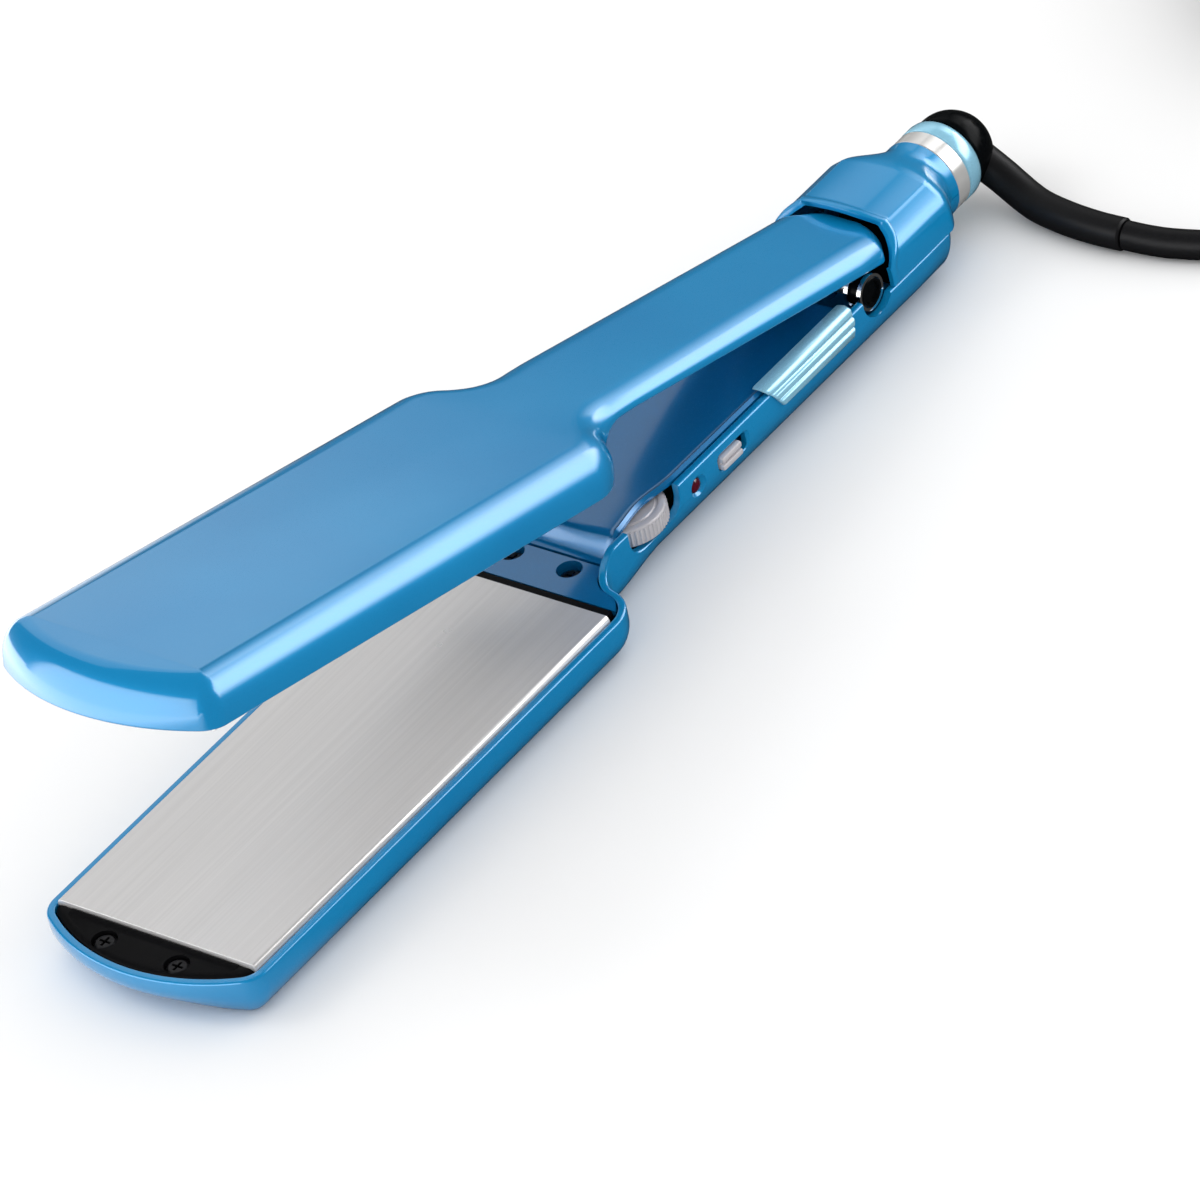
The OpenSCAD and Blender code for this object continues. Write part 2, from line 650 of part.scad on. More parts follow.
// Thumbwheel with a knurled rim and two rings of ridges on its faces
module temperature_dial() {
    knurls = 36;
    color(chrome) translate([dial_x, dial_y, dial_z]) difference() {
        cylinder(r = dial_r, h = dial_t);
        for (i = [0:knurls - 1]) rotate([0, 0, 360 * i / knurls]) translate([dial_r + 0.1, 0, 0.6])
            cylinder(r = 0.45, h = dial_t - 1.2);
        translate([0, 0, -1]) cylinder(r = dial_bore_r, h = 4.2);
        translate([0, 0, dial_t - 0.5]) difference() {
            cylinder(r = dial_r - 1.6, h = 1);
            translate([0, 0, -1]) cylinder(r = dial_r - 2.2, h = 3);
        }
    }
}

module switch_body() {
    color([0.15, 0.15, 0.17]) difference() {
        translate([switch_x - 8, -board_w / 2, board_z + board_t]) cube([16, 7.5, 6.6]);
        translate([switch_x - 6, -9.1, control_z - 1.2]) cube([12, 4, 2.4]);
    }
}
module power_button() {
    x0 = switch_x - button_travel / 2 - button_l / 2;
    color(chrome) {
        translate([x0, -handle_hw + 0.2, control_z - button_h / 2]) cube([button_l, 0.8, button_h]);
        for (z = [0, button_h / 2 + 0.2]) translate([x0, -handle_hw - 0.7, control_z - button_h / 2 + z])
            cube([button_l, 1, button_h / 2 - 0.2]);
        translate([x0 + button_l / 2 - 1.5, -handle_hw + 0.9, control_z - 0.9])
            cube([3, handle_hw - 0.9 - 5.4, 1.8]);
    }
}
module indicator_lamp() {
    color([0.4, 0.02, 0.06]) translate([led_x, -handle_hw + 0.3, control_z]) rotate([-90, 0, 0]) {
        cylinder(r = led_r, h = wall + 3);
        translate([0, 0, wall + 0.6]) cylinder(r = led_r + 0.5, h = 1);
    }
}

// ---------------------------------------------------------------- hinge

knuckle_hw = 4.4;
bush_y0 = ear_y0 + ear_t + 0.05;
bush_y1 = handle_hw - 1.3;

module hinge_pin() {
    color(steel) translate([hinge_x, -bush_y1 + 1, hinge_z]) rotate([-90, 0, 0])
        cylinder(r = pin_r, h = 2 * bush_y1 - 2);
}
module hinge_bushes() {
    color(black) for (s = [0, 1]) mirror([0, s, 0]) translate([hinge_x, bush_y0, hinge_z]) rotate([-90, 0, 0])
        difference() {
            cylinder(r = bush_r - 0.7, h = bush_y1 - bush_y0);
            translate([0, 0, -1]) cylinder(r = pin_r, h = bush_y1 - bush_y0);
        }
}
module hinge_trim_rings() {
    color(chrome) for (s = [0, 1]) mirror([0, s, 0]) for (y = [bush_y0 + 0.1, bush_y1 - 1.2])
        translate([hinge_x, y, hinge_z]) rotate([-90, 0, 0]) difference() {
            cylinder(r = bush_r, h = 1);
            translate([0, 0, -1]) cylinder(r = bush_r - 0.7, h = 3);
        }
}

// Torsion spring wound round the pin beside the knuckle
spring_turns = 2.25;
spring_pitch = 1.3;
spring_wire = 0.8;
spring_r = pin_r + 0.9;
spring_leg = 8;
function spring_point(t) = [
    hinge_x + spring_r * cos(360 * t), knuckle_hw + 0.8 + t * spring_pitch, hinge_z + spring_r * sin(360 * t)
];
module hinge_spring() {
    turns = [for (i = [0:spring_turns * 16]) spring_point(i / 16)];
    low_leg = turns[0] + spring_leg * [-0.2, 0, -1];
    high_leg = turns[len(turns) - 1] + spring_leg * [-1, 0, 0.1];
    color(steel) tube(concat([low_leg], turns, [high_leg]), spring_wire / 2, spring_wire / 2, 6);
}

// ---------------------------------------------------------------- swivel

bush_start = 144;
journal_r = swivel_bore_r - pin_clear;
journal_bore_r = 3.6;

module swivel_bush() {
    color(black) translate([bush_start, 0, swivel_z]) rotate([0, 90, 0]) difference() {
        union() {
            cylinder(r = swivel_bore_r + 1.35, h = collar_end - 0.6 - bush_start);
            cylinder(r = swivel_bore_r + 1.35, h = 1.4);
        }
        translate([0, 0, -1]) cylinder(r = swivel_bore_r, h = collar_end - bush_start + 2);
    }
}
module chrome_ring() {
    color(chrome) translate([ring_x + 0.05, 0, swivel_z]) rotate([0, 90, 0]) rotate_extrude()
        polygon([
            [sleeve_r, 0], [neck_r - 0.5, 0], [neck_r - 0.1, 0.4],
            [neck_r - 0.1, ring_len - 0.5], [neck_r - 0.5, ring_len - 0.1], [sleeve_r, ring_len - 0.1]
        ]);
}
module tail_collar() {
    color(light_blue) translate([ring_end + 0.05, 0, swivel_z]) rotate([0, 90, 0]) rotate_extrude()
        polygon([
            [sleeve_r, 0], [neck_r - 0.4, 0], [neck_r, 0.4], [neck_r - 0.1, collar_len - 1.6],
            [neck_r - 0.5, collar_len - 0.6], [neck_r - 1.2, collar_len - 0.1],
            [swivel_bore_r + 0.6, collar_len - 0.1], [swivel_bore_r + 0.6, collar_len - 0.55],
            [sleeve_r, collar_len - 0.55]
        ]);
}

dome_x = collar_end + 1.5;
dome_r = neck_r - 0.7;

// Black head of the swivel: a dome outside the collar, and a hollow journal through the bush
module swivel_head() {
    color(black) difference() {
        union() {
            intersection() {
                translate([dome_x, 0, swivel_z]) sphere(r = dome_r);
                translate([collar_end + 0.1, -20, swivel_z - 20]) cube([40, 40, 40]);
            }
            translate([collar_end + 0.1, 0, swivel_z]) rotate([0, 90, 0])
                cylinder(r = dome_r, h = dome_x - collar_end - 0.1);
            translate([bush_start - 2.6, 0, swivel_z]) rotate([0, 90, 0])
                cylinder(r = journal_r, h = collar_end - bush_start + 3);
        }
        translate([bush_start - 4, 0, swivel_z]) rotate([0, 90, 0])
            cylinder(r = journal_bore_r, h = dome_x - bush_start + 4);
        translate([relief_x, 0, swivel_z]) rotate([90 + relief_dip, 0, 0])
            cylinder(r = relief_r0 + 0.1, h = dome_r + 4);
        translate([bush_start - 1.4, 0, swivel_z]) rotate([0, 90, 0]) difference() {
            cylinder(r = journal_r + 1, h = 1);
            translate([0, 0, -1]) cylinder(r = journal_r - 0.8, h = 3);
        }
    }
}
module swivel_clip() {
    color(steel) translate([bush_start - 1.35, 0, swivel_z]) rotate([0, 90, 0]) difference() {
        cylinder(r = journal_r + 1.3, h = 0.9);
        translate([0, 0, -1]) cylinder(r = journal_r - 0.75, h = 3);
        translate([-0.9, 0, -1]) cube([1.8, 12, 3]);
    }
}
module contact_rings() {
    color([0.78, 0.62, 0.3]) translate([bush_start - 7, 0, swivel_z]) rotate([0, 90, 0]) {
        cylinder(r = 2, h = 4);
        for (z = [0.3, 2]) translate([0, 0, z]) cylinder(r = 3.4, h = 0.9);
        translate([0, 0, 3.5]) cylinder(r = 4.6, h = 0.85);
    }
}
module contact_block() {
    color([0.16, 0.16, 0.18]) translate([bush_start - 13.6, -6, wall + 0.4]) difference() {
        cube([6.3, 12, swivel_z - wall + 3.4]);
        translate([4.3, 3, swivel_z - wall - 3.4]) cube([3, 6, 6]);
    }
}

// ---------------------------------------------------------------- upper arm

// The upper handle narrows where it goes under the hood
upper_end_cuts = [[-1.2, 0], [-0.5, 0.3], [1.1, 1.7], [2.9, 3.2], [3.9, 4.8]];
function along_handle(x) = min(1, max(0, (x - 28) / (hinge_x - 28)));
function upper_width(x) = lerp(upper_hw, upper_rear_hw, along_handle(x)) - lookup(x - hood_x, upper_end_cuts);
upper_path = distinct(concat(
    [
        for (i = [len(upper_end_cuts) - 1:-1:0])
            let (x = hood_x + upper_end_cuts[i][0])
                [x, upper_width(x), 0, 1]
    ],
    [for (x = [110, 70, 29]) [x, upper_width(x), 0, 1]],
    shoulders(upper_hw, upper_shoulder, 6),
    tip_outline(4, 6)
));

// Share of the way from the head to the handle across the upper arm's shoulders
function neck_share(x) = ease(4, 26, x);
function upper_rim(x) =
    let (handle_side = lerp(upper_side, upper_rear_side, along_handle(x)))
    lerp(upper_depth - upper_rim_drop, handle_side, neck_share(x));
function upper_edge(x) =
    min(lerp(head_edge_r, upper_rear_side, neck_share(x)), upper_rim(x) - rim_round - 0.1);
function upper_ring(p) =
    let (w = lerp(upper_edge(0), upper_edge_w, neck_share(p[0])), h = upper_edge(p[0]), rim = upper_rim(p[0]))
    tray_ring(p, tray_outer(w, h, rim), tray_inner(w, h, rim, wall));

// Turns a piece of the closed upper arm to where it stands open, and face-down onto the lower plate
module on_upper() {
    translate([hinge_x, 0, hinge_z]) rotate([0, open_angle, 0]) translate([-hinge_x, 0, -hinge_z])
        translate([0, 0, face_z + closed_gap]) mirror([0, 0, 1]) children();
}

module upper_shell() {
    color(blue) on_upper() translate([0, 0, -upper_depth]) {
        skin([for (p = upper_path) upper_ring(p)], true, false);
        tip_posts(upper_depth);
        for (s = [-1, 1]) translate([upper_screw_x, s * screw_y, 1.5]) difference() {
            cylinder(r = 3, h = upper_side - 3.1);
            translate([0, 0, 0.3]) cylinder(r = screw_r, h = 10);
        }
    }
}

// Inner cover of the upper handle, with the knuckle of the hinge
module upper_inner_cover() {
    top = -upper_handle_gap - 0.1;
    axis = -hinge_rise + closed_gap;
    arm_l = 12;
    color(navy) on_upper() {
        difference() {
            translate([0, 0, top - 0.9]) linear_extrude(0.9) {
                polygon(inside(upper_path, wall + seat + 0.9, 28.9, upper_end));
                polygon(inside(upper_path, wall + seat + 2.4, plate_gap + carrier_lip + 0.3, 29.1));
            }
            for (s = [-1, 1]) translate([upper_screw_x, s * screw_y, -20])
                cylinder(r = screw_r + 0.2, h = 30);
        }
        difference() {
            union() {
                translate([hinge_x, -knuckle_hw, axis]) rotate([-90, 0, 0])
                    cylinder(r = bush_r - 0.1, h = 2 * knuckle_hw);
                translate([hinge_x - arm_l / 2, -knuckle_hw, top - 0.6])
                    cube([arm_l, 2 * knuckle_hw, axis - top + 0.6 - 1]);
            }
            translate([hinge_x, -knuckle_hw - 1, axis]) rotate([-90, 0, 0])
                cylinder(r = pin_r + pin_clear, h = 2 * knuckle_hw + 2);
        }
    }
}
module upper_plate() {
    color(titanium) on_upper() head_plate();
}
module upper_plate_carrier() {
    color(black) on_upper() head_carrier(upper_depth);
}
module upper_tip_cap() {
    color(black) on_upper() head_tip_cap(upper_rim_drop);
}
module upper_heater() {
    color([0.9, 0.88, 0.82]) on_upper() head_heater();
}
module upper_heater_clamp() {
    color(steel) on_upper() head_clamp(upper_depth);
}
module upper_thermal_fuse() {
    color([0.75, 0.6, 0.35]) on_upper() head_fuse(upper_depth);
}
module upper_tip_screws() {
    color(black) on_upper() tip_screw_pair(upper_depth);
}
module upper_neck_screws() {
    color(steel) on_upper() for (s = [-1, 1])
        translate([upper_screw_x, s * screw_y, -upper_handle_gap + 1.2]) screw(2.9);
}

// ---------------------------------------------------------------- cord

cord_r = cord_d / 2;

// Frame of a path at point i: the tangent there
function tangent(path, i) =
    let (a = path[max(0, i - 1)], b = path[min(len(path) - 1, i + 1)]) (b - a) / norm(b - a);

// Side and up directions that keep level along the path
function side_of(t) = let (s = cross([0, 0, 1], t)) s / norm(s);

// A tube along a path, tapering from radius r0 to r1
module tube(path, r0, r1, sides) {
    m = len(path);
    points = [
        for (i = [0:m - 1])
            let (t = tangent(path, i), s = side_of(t), u = cross(t, s), r = lerp(r0, r1, i / (m - 1)))
                for (j = [0:sides - 1])
                    let (a = 360 * j / sides)
                        path[i] + r * (cos(a) * s + sin(a) * u)
    ];
    faces = [
        for (i = [0:m - 2]) for (j = [0:sides - 1])
            let (a = i * sides + j, b = i * sides + (j + 1) % sides, c = a + sides, d = b + sides)
                each [[a, c, b], [b, c, d]]
    ];
    o = (m - 1) * sides;
    caps = [for (j = [1:sides - 2]) each [[0, j, j + 1], [o, o + j + 1, o + j]]];
    polyhedron(points, concat(faces, caps), convexity = 10);
}

// A smooth curve through points, with n steps between each pair
function spline_point(p, i, t) =
    let (a = p[max(0, i - 1)], b = p[i], c = p[i + 1], d = p[min(len(p) - 1, i + 2)])
    0.5 * (2 * b + (c - a) * t + (2 * a - 5 * b + 4 * c - d) * t * t + (3 * b - a - 3 * c + d) * t * t * t);
function spline(p, n) = concat(
    [for (i = [0:len(p) - 2]) for (k = [0:n - 1]) spline_point(p, i, k / n)],
    [p[len(p) - 1]]
);

// Route of the strain relief out of the swivel, then of the cord along the table to the coil
relief_dip = 31.3;
relief_x = 167.5;
relief_r0 = 4.1;
relief_r1 = 3.7;
relief_route = [
    [167.5, -3.42, 11.42], [167.5, -5.5, 10.16], [167.5, -7.6, 8.9], [167.3, -10.6, 7.3],
    [166.6, -14, 5.95], [165.5, -18, 4.9], [164.4, -22, 4.45], [163.5, -27, 4.3], [162.9, -33, 4.2],
    [162.8, -39, 4.1], [163.2, -45, 4]
];
lead_route = [
    [163.25, -45.3, 3.9], [164, -51, 3.6], [165.4, -57, 3.4], [168.6, -66.2, 3.4], [173.9, -74.3, 3.4],
    [180.8, -81.2, 3.4], [189.1, -86.2, 3.4], [198.3, -89.3, 3.4], [208, -90.8, 3.4], [222, -91.3, 3.4],
    [237, -91.2, 3.4], [251, -90.8, 3.4], [265, -90.4, 3.4], [278.3, -90.25, 3.4]
];

coil_pitch = cord_d + 0.7;
coil_r_in = 30;
coil_r_out = coil_r_in + coil_turns * coil_pitch;
coil_x = 285;
coil_y = coil_r_out - 90.25;
coil_loops = 4 * coil_turns;
coil_z = 3.4;

// Distance from the nearest inner turn-back, smoothed over half a turn
function fold(u) = let (v = abs(u)) v < 0.25 ? 2 * v * v + 0.125 : v;
function coil_radius(t) =
    let (period = 2 * coil_turns, phase = t - period * floor(t / period), u = phase - coil_turns)
    let (inner = coil_r_in + coil_pitch * fold(u))
    let (v = coil_turns - abs(u))
    abs(u) > coil_turns - 0.25 && t > 1 && t < coil_loops - 1 ? coil_r_out - coil_pitch * fold(v) : inner;
function coil_layer(t) =
    let (k = floor(t / coil_turns + 0.5), d = t - k * coil_turns)
    k <= 0 ? 0 : k >= 4 ? 3 : d < -0.25 ? k - 1 : d > 0.25 ? k : k - 1 + ease(-0.25, 0.25, d);
function coil_point(t) =
    let (r = coil_radius(t), a = 360 * t - 90)
    [coil_x + r * cos(a), coil_y + r * sin(a), coil_z + coil_pitch * coil_layer(t)];

rings_per_loop = 24;
coil_core = [for (i = [0:coil_loops * rings_per_loop]) coil_point(i / rings_per_loop)];
coil_first = coil_core[0];
coil_last = coil_core[len(coil_core) - 1];
coil_route = concat([coil_first - [cord_d, 0, 0]], coil_core, [coil_last + [cord_d, 0, 0]]);

// From the coil's last turn over the top layer to the plug, which lies on the coil
end_steps = [
    [0.15, 0, 0], [3.2, 0.05, 0], [7.4, 0.9, 0.5], [16.3, 4.9, 2.3], [24.7, 10.8, 4.3], [31.8, 18.2, 6],
    [37.2, 26.9, 7.1], [40.6, 36.4, 7.6], [41.9, 46.5, 7.8], [40.9, 56, 8.3], [37.9, 63.2, 9.3],
    [33.1, 69.4, 10.8], [26.9, 74.2, 12.4], [20.4, 77.3, 13.7], [14.6, 78.3, 14.3], [11.9, 78.3, 14.3]
];
end_route = [for (q = end_steps) coil_route[len(coil_route) - 1] + q];

// Least gap between turns of the coil, measured on its points at least a third of a turn apart
coil_gap = min([
    for (i = [0:2:len(coil_core) - 1])
        for (j = [i + 8:2:len(coil_core) - 1])
            norm(coil_core[i] - coil_core[j])
]) - cord_d;
echo("least gap of the coil to itself", coil_gap);

module strain_relief() {
    color(black) tube(spline(relief_route, 2), relief_r0, relief_r1, 12);
}
module cord_lead() {
    color(black) tube(spline(lead_route, 3), cord_r, cord_r, 8);
}
module cord_coil() {
    color(black) tube(coil_route, cord_r, cord_r, 6);
}
module cord_end() {
    color(black) tube(spline(end_route, 2), cord_r, cord_r, 8);
}

// Strap round the coil's turns
tie_w = 10;
tie_t = 1;
tie_play = 0.7;
module cord_tie() {
    turns_w = coil_r_out - coil_r_in + cord_d + 2 * tie_play;
    top_z = coil_z + 3 * coil_pitch + cord_r + tie_play;
    color([0.1, 0.1, 0.1])
        translate([coil_x - coil_r_out - cord_r - tie_play - tie_t, coil_y - tie_w / 2, 0]) difference() {
            cube([turns_w + 2 * tie_t, tie_w, top_z + tie_t]);
            translate([tie_t, -1, 0.05]) cube([turns_w, tie_w + 2, top_z - 0.05]);
        }
}

// Two-blade plug on its side along X, behind the cord's end
plug_at = end_route[len(end_route) - 1] - [0.2, 0, 0];
plug_neck = 14;
plug_neck_r = [4, 6];          // radii of the plug's neck at the cord and at the body
plug_l = 24;
plug_w = 24;
plug_h = 20;
plug_sole = 10.6;
blade_gap = 12.7;
blade = [16, 1.5, 6.3];

module plug_body() {
    color(black) translate(plug_at) {
        rotate([0, -90, 0]) cylinder(r1 = plug_neck_r[0], r2 = plug_neck_r[1], h = plug_neck);
        translate([-plug_neck - plug_l, -plug_w / 2, -plug_sole]) cube([plug_l, plug_w, plug_h]);
    }
}
module plug_blades() {
    color([0.8, 0.68, 0.4]) for (y = [-blade_gap / 2, blade_gap / 2])
        translate(plug_at + [-plug_neck - plug_l - blade[0], y - blade[1] / 2, -blade[2] / 2]) cube(blade);
}

lower_shell();
handle_cover();
hinge_hood();
near_grip();
far_grip();
lower_plate();
lower_plate_carrier();
lower_tip_cap();
lower_heater();
lower_heater_clamp();
lower_thermal_fuse();
lower_tip_screws();
lower_neck_screws();
control_board();
dial_potentiometer();
switch_body();
indicator_lamp();
hinge_pin();
hinge_bushes();
hinge_trim_rings();
hinge_spring();
swivel_bush();
chrome_ring();
tail_collar();
contact_block();
temperature_dial();
power_button();
upper_shell();
upper_inner_cover();
upper_plate();
upper_plate_carrier();
upper_tip_cap();
upper_heater();
upper_heater_clamp();
upper_thermal_fuse();
upper_tip_screws();
upper_neck_screws();
swivel_head();
swivel_clip();
contact_rings();
strain_relief();
cord_lead();
cord_coil();
cord_end();
cord_tie();
plug_body();
plug_blades();
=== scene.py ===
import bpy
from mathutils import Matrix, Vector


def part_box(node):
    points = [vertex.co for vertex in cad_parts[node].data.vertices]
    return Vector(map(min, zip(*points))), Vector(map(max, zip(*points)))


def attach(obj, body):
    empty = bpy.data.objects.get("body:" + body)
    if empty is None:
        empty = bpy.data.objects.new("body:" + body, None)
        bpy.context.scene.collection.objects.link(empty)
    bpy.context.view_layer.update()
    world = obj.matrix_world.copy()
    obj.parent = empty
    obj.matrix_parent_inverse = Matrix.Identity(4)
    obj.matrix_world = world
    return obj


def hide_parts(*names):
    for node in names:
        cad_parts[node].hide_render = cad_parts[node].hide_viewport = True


bl_info = {
    "name": "Hair Straightening Iron",
    "version": (1, 0, 0),
    "blender": (4, 5, 0),
    "location": "View3D > Sidebar > Straightening Iron",
    "description": "Makes a wide-plate hair straightening iron over its packed solids",
    "category": "Add Mesh",
}

from math import acos, atan2, cos, degrees, hypot, pi, radians, sin, sqrt
from types import SimpleNamespace

import bmesh
import bpy
from mathutils import Matrix, Vector

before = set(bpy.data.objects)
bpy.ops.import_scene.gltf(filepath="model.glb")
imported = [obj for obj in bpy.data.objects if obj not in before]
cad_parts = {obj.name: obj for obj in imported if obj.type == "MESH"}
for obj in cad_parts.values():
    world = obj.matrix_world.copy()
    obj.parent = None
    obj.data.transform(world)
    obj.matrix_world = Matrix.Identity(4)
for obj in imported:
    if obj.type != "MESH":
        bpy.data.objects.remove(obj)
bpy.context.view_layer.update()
PLATE_LOW, PLATE_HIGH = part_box("lower_plate")
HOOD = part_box("hinge_hood")
MM = 0.001
Y_AXIS, Z_AXIS = (0, 1, 0), (0, 0, 1)

# Fixed places and sizes, in millimetres. X runs from the tips, which are at its low end, to the cord.
HINGE_X = 112.5
HINGE_RISE = 2.7                        # the hinge's axis over the lower plate's face
HOOD_X = 118.7                          # front of the hood's top
HOOD_REAR = 141                         # where the hood starts to turn into the neck
NECK_END = 152.6
NECK_LINER = 7.5                        # inner radius of the neck, round the bush
SWIVEL_Z = 13.5                         # height of the swivel's axis
JOURNAL_X = 141.4                       # inner end of the swivel's journal
CLOSED_GAP = 0.3                        # between the plates when the arms are closed
SEAM_RISE = 0.2                         # seam of the hood and the lower shell over the plate's face
PLATE_GAP = 0.2                         # between a plate and its shell
COVER_GAP = 0.3                         # between the lower shell and what it holds
RIM_ROUND = 0.6                         # rounding of a shell's rim
TIP_RADIUS = 46                         # radius of the tips' front curve
TIP_SCREW_X, TIP_SCREW_Y = 6.8, 9.5     # from the tip, and to each side
NECK_SCREW_X, NECK_SCREW_Y = 10.5, 7.7
GRIP_FRONT, GRIP_REAR = 71.4, 103.6
LAMP_RADIUS = 1.6
DIAL_SLOT_HALF = 9

OPEN_ANGLE = 13.7                       # of the arms, in degrees
EDGE_STEPS = 14                         # faces round a shell's lower edge
DIAL_RIDGES = 54


# ------------------------------------------------------------------ sizes and colours

def length(name, description, default):
    return bpy.props.FloatProperty(
        name=name, description=description, default=default, unit="LENGTH", precision=4)


def colour(name, description, default):
    return bpy.props.FloatVectorProperty(
        name=name, description=description, default=default, subtype="COLOR", size=3, min=0, max=1)


class IronSizes(bpy.types.PropertyGroup):
    plate_width: length("Plate width", "Width of a plate's flat face", PLATE_HIGH.y - PLATE_LOW.y - 0.0022)
    plate_length: length("Plate length", "Length of a plate", PLATE_HIGH.x - PLATE_LOW.x)
    plate_edge: length("Plate edge", "Width of the rounded edge along a plate", 0.0011)
    face_height: length("Face height", "Height of the lower plate's face", PLATE_HIGH.z)
    upper_depth: length("Upper arm depth", "Depth of the upper arm behind its plate's face", 0.0123)
    wall: length("Wall", "Wall of the shells", 0.0018)
    lower_rim_drop: length("Lower rim drop", "Depth of the lower head's rim below the plate's face", 0.0012)
    upper_rim_drop: length("Upper rim drop", "Depth of the upper head's rim behind its plate's face", 0.0016)
    tip_corner: length("Tip corner radius", "Radius of the tips' corners", 0.0066)
    tip_rise: length("Tip rise", "Rise of the lower head's underside at the tip", 0.0038)
    head_edge: length("Head edge radius", "Radius of the heads' long edges", 0.008)
    tip_length: length("Tip length", "Length of the heads beyond the plates", 0.012)
    handle_width: length("Handle width", "Width of the lower handle", 0.033)
    handle_edge: length("Handle edge radius", "Radius of the lower handle's underside edges", 0.012)
    handle_rim: length("Handle rim", "Height of the lower handle's walls over the plate's face", 0.0035)
    upper_handle_width: length("Upper handle width", "Width of the upper handle behind the shoulders", 0.031)
    upper_rear_width: length("Upper rear width", "Width of the upper handle at the hinge", 0.0296)
    hood_top: length("Hood top", "Height of the hood's top", HOOD[1].z)
    neck_radius: length("Neck radius", "Radius of the neck and the chrome ring", 0.0099)
    cord_diameter: length("Cord diameter", "Diameter of the mains cord", 0.0066)


class IronColours(bpy.types.PropertyGroup):
    paint: colour("Pearl paint", "Colour of the shells", (0.0012, 0.228, 0.52))
    paint_light: colour("Pearl paint, light", "Second colour of the shells' paint", (0.004, 0.285, 0.6))
    trim: colour("Light trim", "Colour of the grips and the collar", (0.3, 0.62, 0.8))
    # The cover's own blue, with a darker tone that is painted shade from the upper arm above it.
    cover: colour("Inner cover", "Colour of the cover inside the handle", (0.001, 0.14, 0.35))
    plate: colour("Plates", "Colour of the heated plates' coating", (0.72, 0.71, 0.705))
    black: colour("Black plastic", "Colour of the black mouldings", (0.0035, 0.0035, 0.004))
    metal: colour("Chrome", "Colour of the chromed pieces", (0.86, 0.85, 0.83))
    lamp: colour("Lamp", "Colour of the indicator lamp", (0.07, 0.001, 0.008))


def sizes():
    """The scene's sizes, and others that follow from them, in millimetres."""
    group = bpy.context.scene.iron_sizes
    s = SimpleNamespace(**{name: getattr(group, name) / MM for name in IronSizes.__annotations__})
    s.half = s.handle_width / 2
    s.head_half = s.plate_width / 2 + s.plate_edge + PLATE_GAP + s.wall
    s.tip_x = -s.plate_length - s.tip_length
    s.seam_z = s.face_height + SEAM_RISE
    s.hinge_z = s.face_height + HINGE_RISE
    return s


def box_mm(node):
    """Low and high corners of a solid's box in millimetres."""
    return [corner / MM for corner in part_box(node)]


# ------------------------------------------------------------------ numbers and curves

def lerp(a, b, t):
    return a + (b - a) * t


def ease(a, b, x):
    t = max(0, min(1, (x - a) / (b - a)))
    return t * t * (3 - 2 * t)


def steps(a, b, n):
    return [lerp(a, b, i / n) for i in range(n + 1)]


def circle(n):
    return [(cos(2 * pi * k / n), sin(2 * pi * k / n)) for k in range(n)]


def table(x, pairs):
    """Straight-line reading of a table of (x, value)."""
    if x <= pairs[0][0]:
        return pairs[0][1]
    for (x0, v0), (x1, v1) in zip(pairs, pairs[1:]):
        if x <= x1:
            return lerp(v0, v1, (x - x0) / (x1 - x0))
    return pairs[-1][1]


def resampled(points, n):
    """n points at even steps through a list of points."""
    last = len(points) - 1
    picked = []
    for place in steps(0, last, n - 1):
        i = min(int(place), last - 1)
        picked.append([lerp(a, b, place - i) for a, b in zip(points[i], points[i + 1])])
    return picked


def spline(points, n):
    """A smooth curve through points, with n steps between each pair."""
    p = [Vector(q) for q in points]
    curve = []
    for i in range(len(p) - 1):
        a, b, c, d = p[max(0, i - 1)], p[i], p[i + 1], p[min(len(p) - 1, i + 2)]
        for t in steps(0, 1, n)[:-1]:
            curve.append(0.5 * (2 * b + (c - a) * t + (2 * a - 5 * b + 4 * c - d) * t * t
                                + (3 * b - a - 3 * c + d) * t ** 3))
    return curve + [p[-1]]


def rounded_box(x0, x1, z0, z1, r, inset=0, n=6):
    """Outline of a rectangle with rounded corners, set in a little."""
    corners = ((x1 - r, z1 - r), (x0 + r, z1 - r), (x0 + r, z0 + r), (x1 - r, z0 + r))
    points = []
    for start, (cx, cz) in zip((0, 90, 180, 270), corners):
        for a in steps(start, start + 90, n):
            points.append((cx + (r - inset) * cos(radians(a)), cz + (r - inset) * sin(radians(a))))
    return points


# ------------------------------------------------------------------ meshes

def loft(rings, first=None, last=None):
    """Faces between closed rings of equal length. An end is left open, or closed as a "fan", or as a "strip"
    between the ring's outer half and its inner half."""
    n = len(rings[0])
    faces = []
    for base in range(0, (len(rings) - 1) * n, n):
        for j in range(n):
            a, b = base + j, base + (j + 1) % n
            faces.append((a, b, b + n, a + n))
    for end, base, turn in ((first, 0, -1), (last, (len(rings) - 1) * n, 1)):
        if end == "fan":
            faces.append(range(base, base + n)[::turn])
        elif end == "strip":
            for j in range(n // 2 - 1):
                faces.append((base + j, base + j + 1, base + n - 2 - j, base + n - 1 - j)[::turn])
    return [p for ring in rings for p in ring], faces


def hull(rings):
    """A solid through rings, closed at both ends."""
    return loft(rings, "fan", "fan")


def spin(profile, centre, axis, segments=96):
    """Turns closed (height, radius) points about an axis through centre."""
    axis = Vector(axis).normalized()
    side = axis.orthogonal().normalized()
    other = axis.cross(side)
    return loft([[Vector(centre) + axis * h + (side * c + other * d) * r for c, d in circle(segments)]
                 for h, r in [*profile, profile[0]]])


def rod(long, radius, centre, axis, segments=48):
    return spin([(0, 0.01), (long, 0.01), (long, radius), (0, radius)], centre, axis, segments)


def prism(outline, low, high, along_y=False):
    """A flat outline pushed from low to high along Z or Y."""
    return hull([[(u, w, v) if along_y else (u, v, w) for u, v in outline] for w in (low, high)])


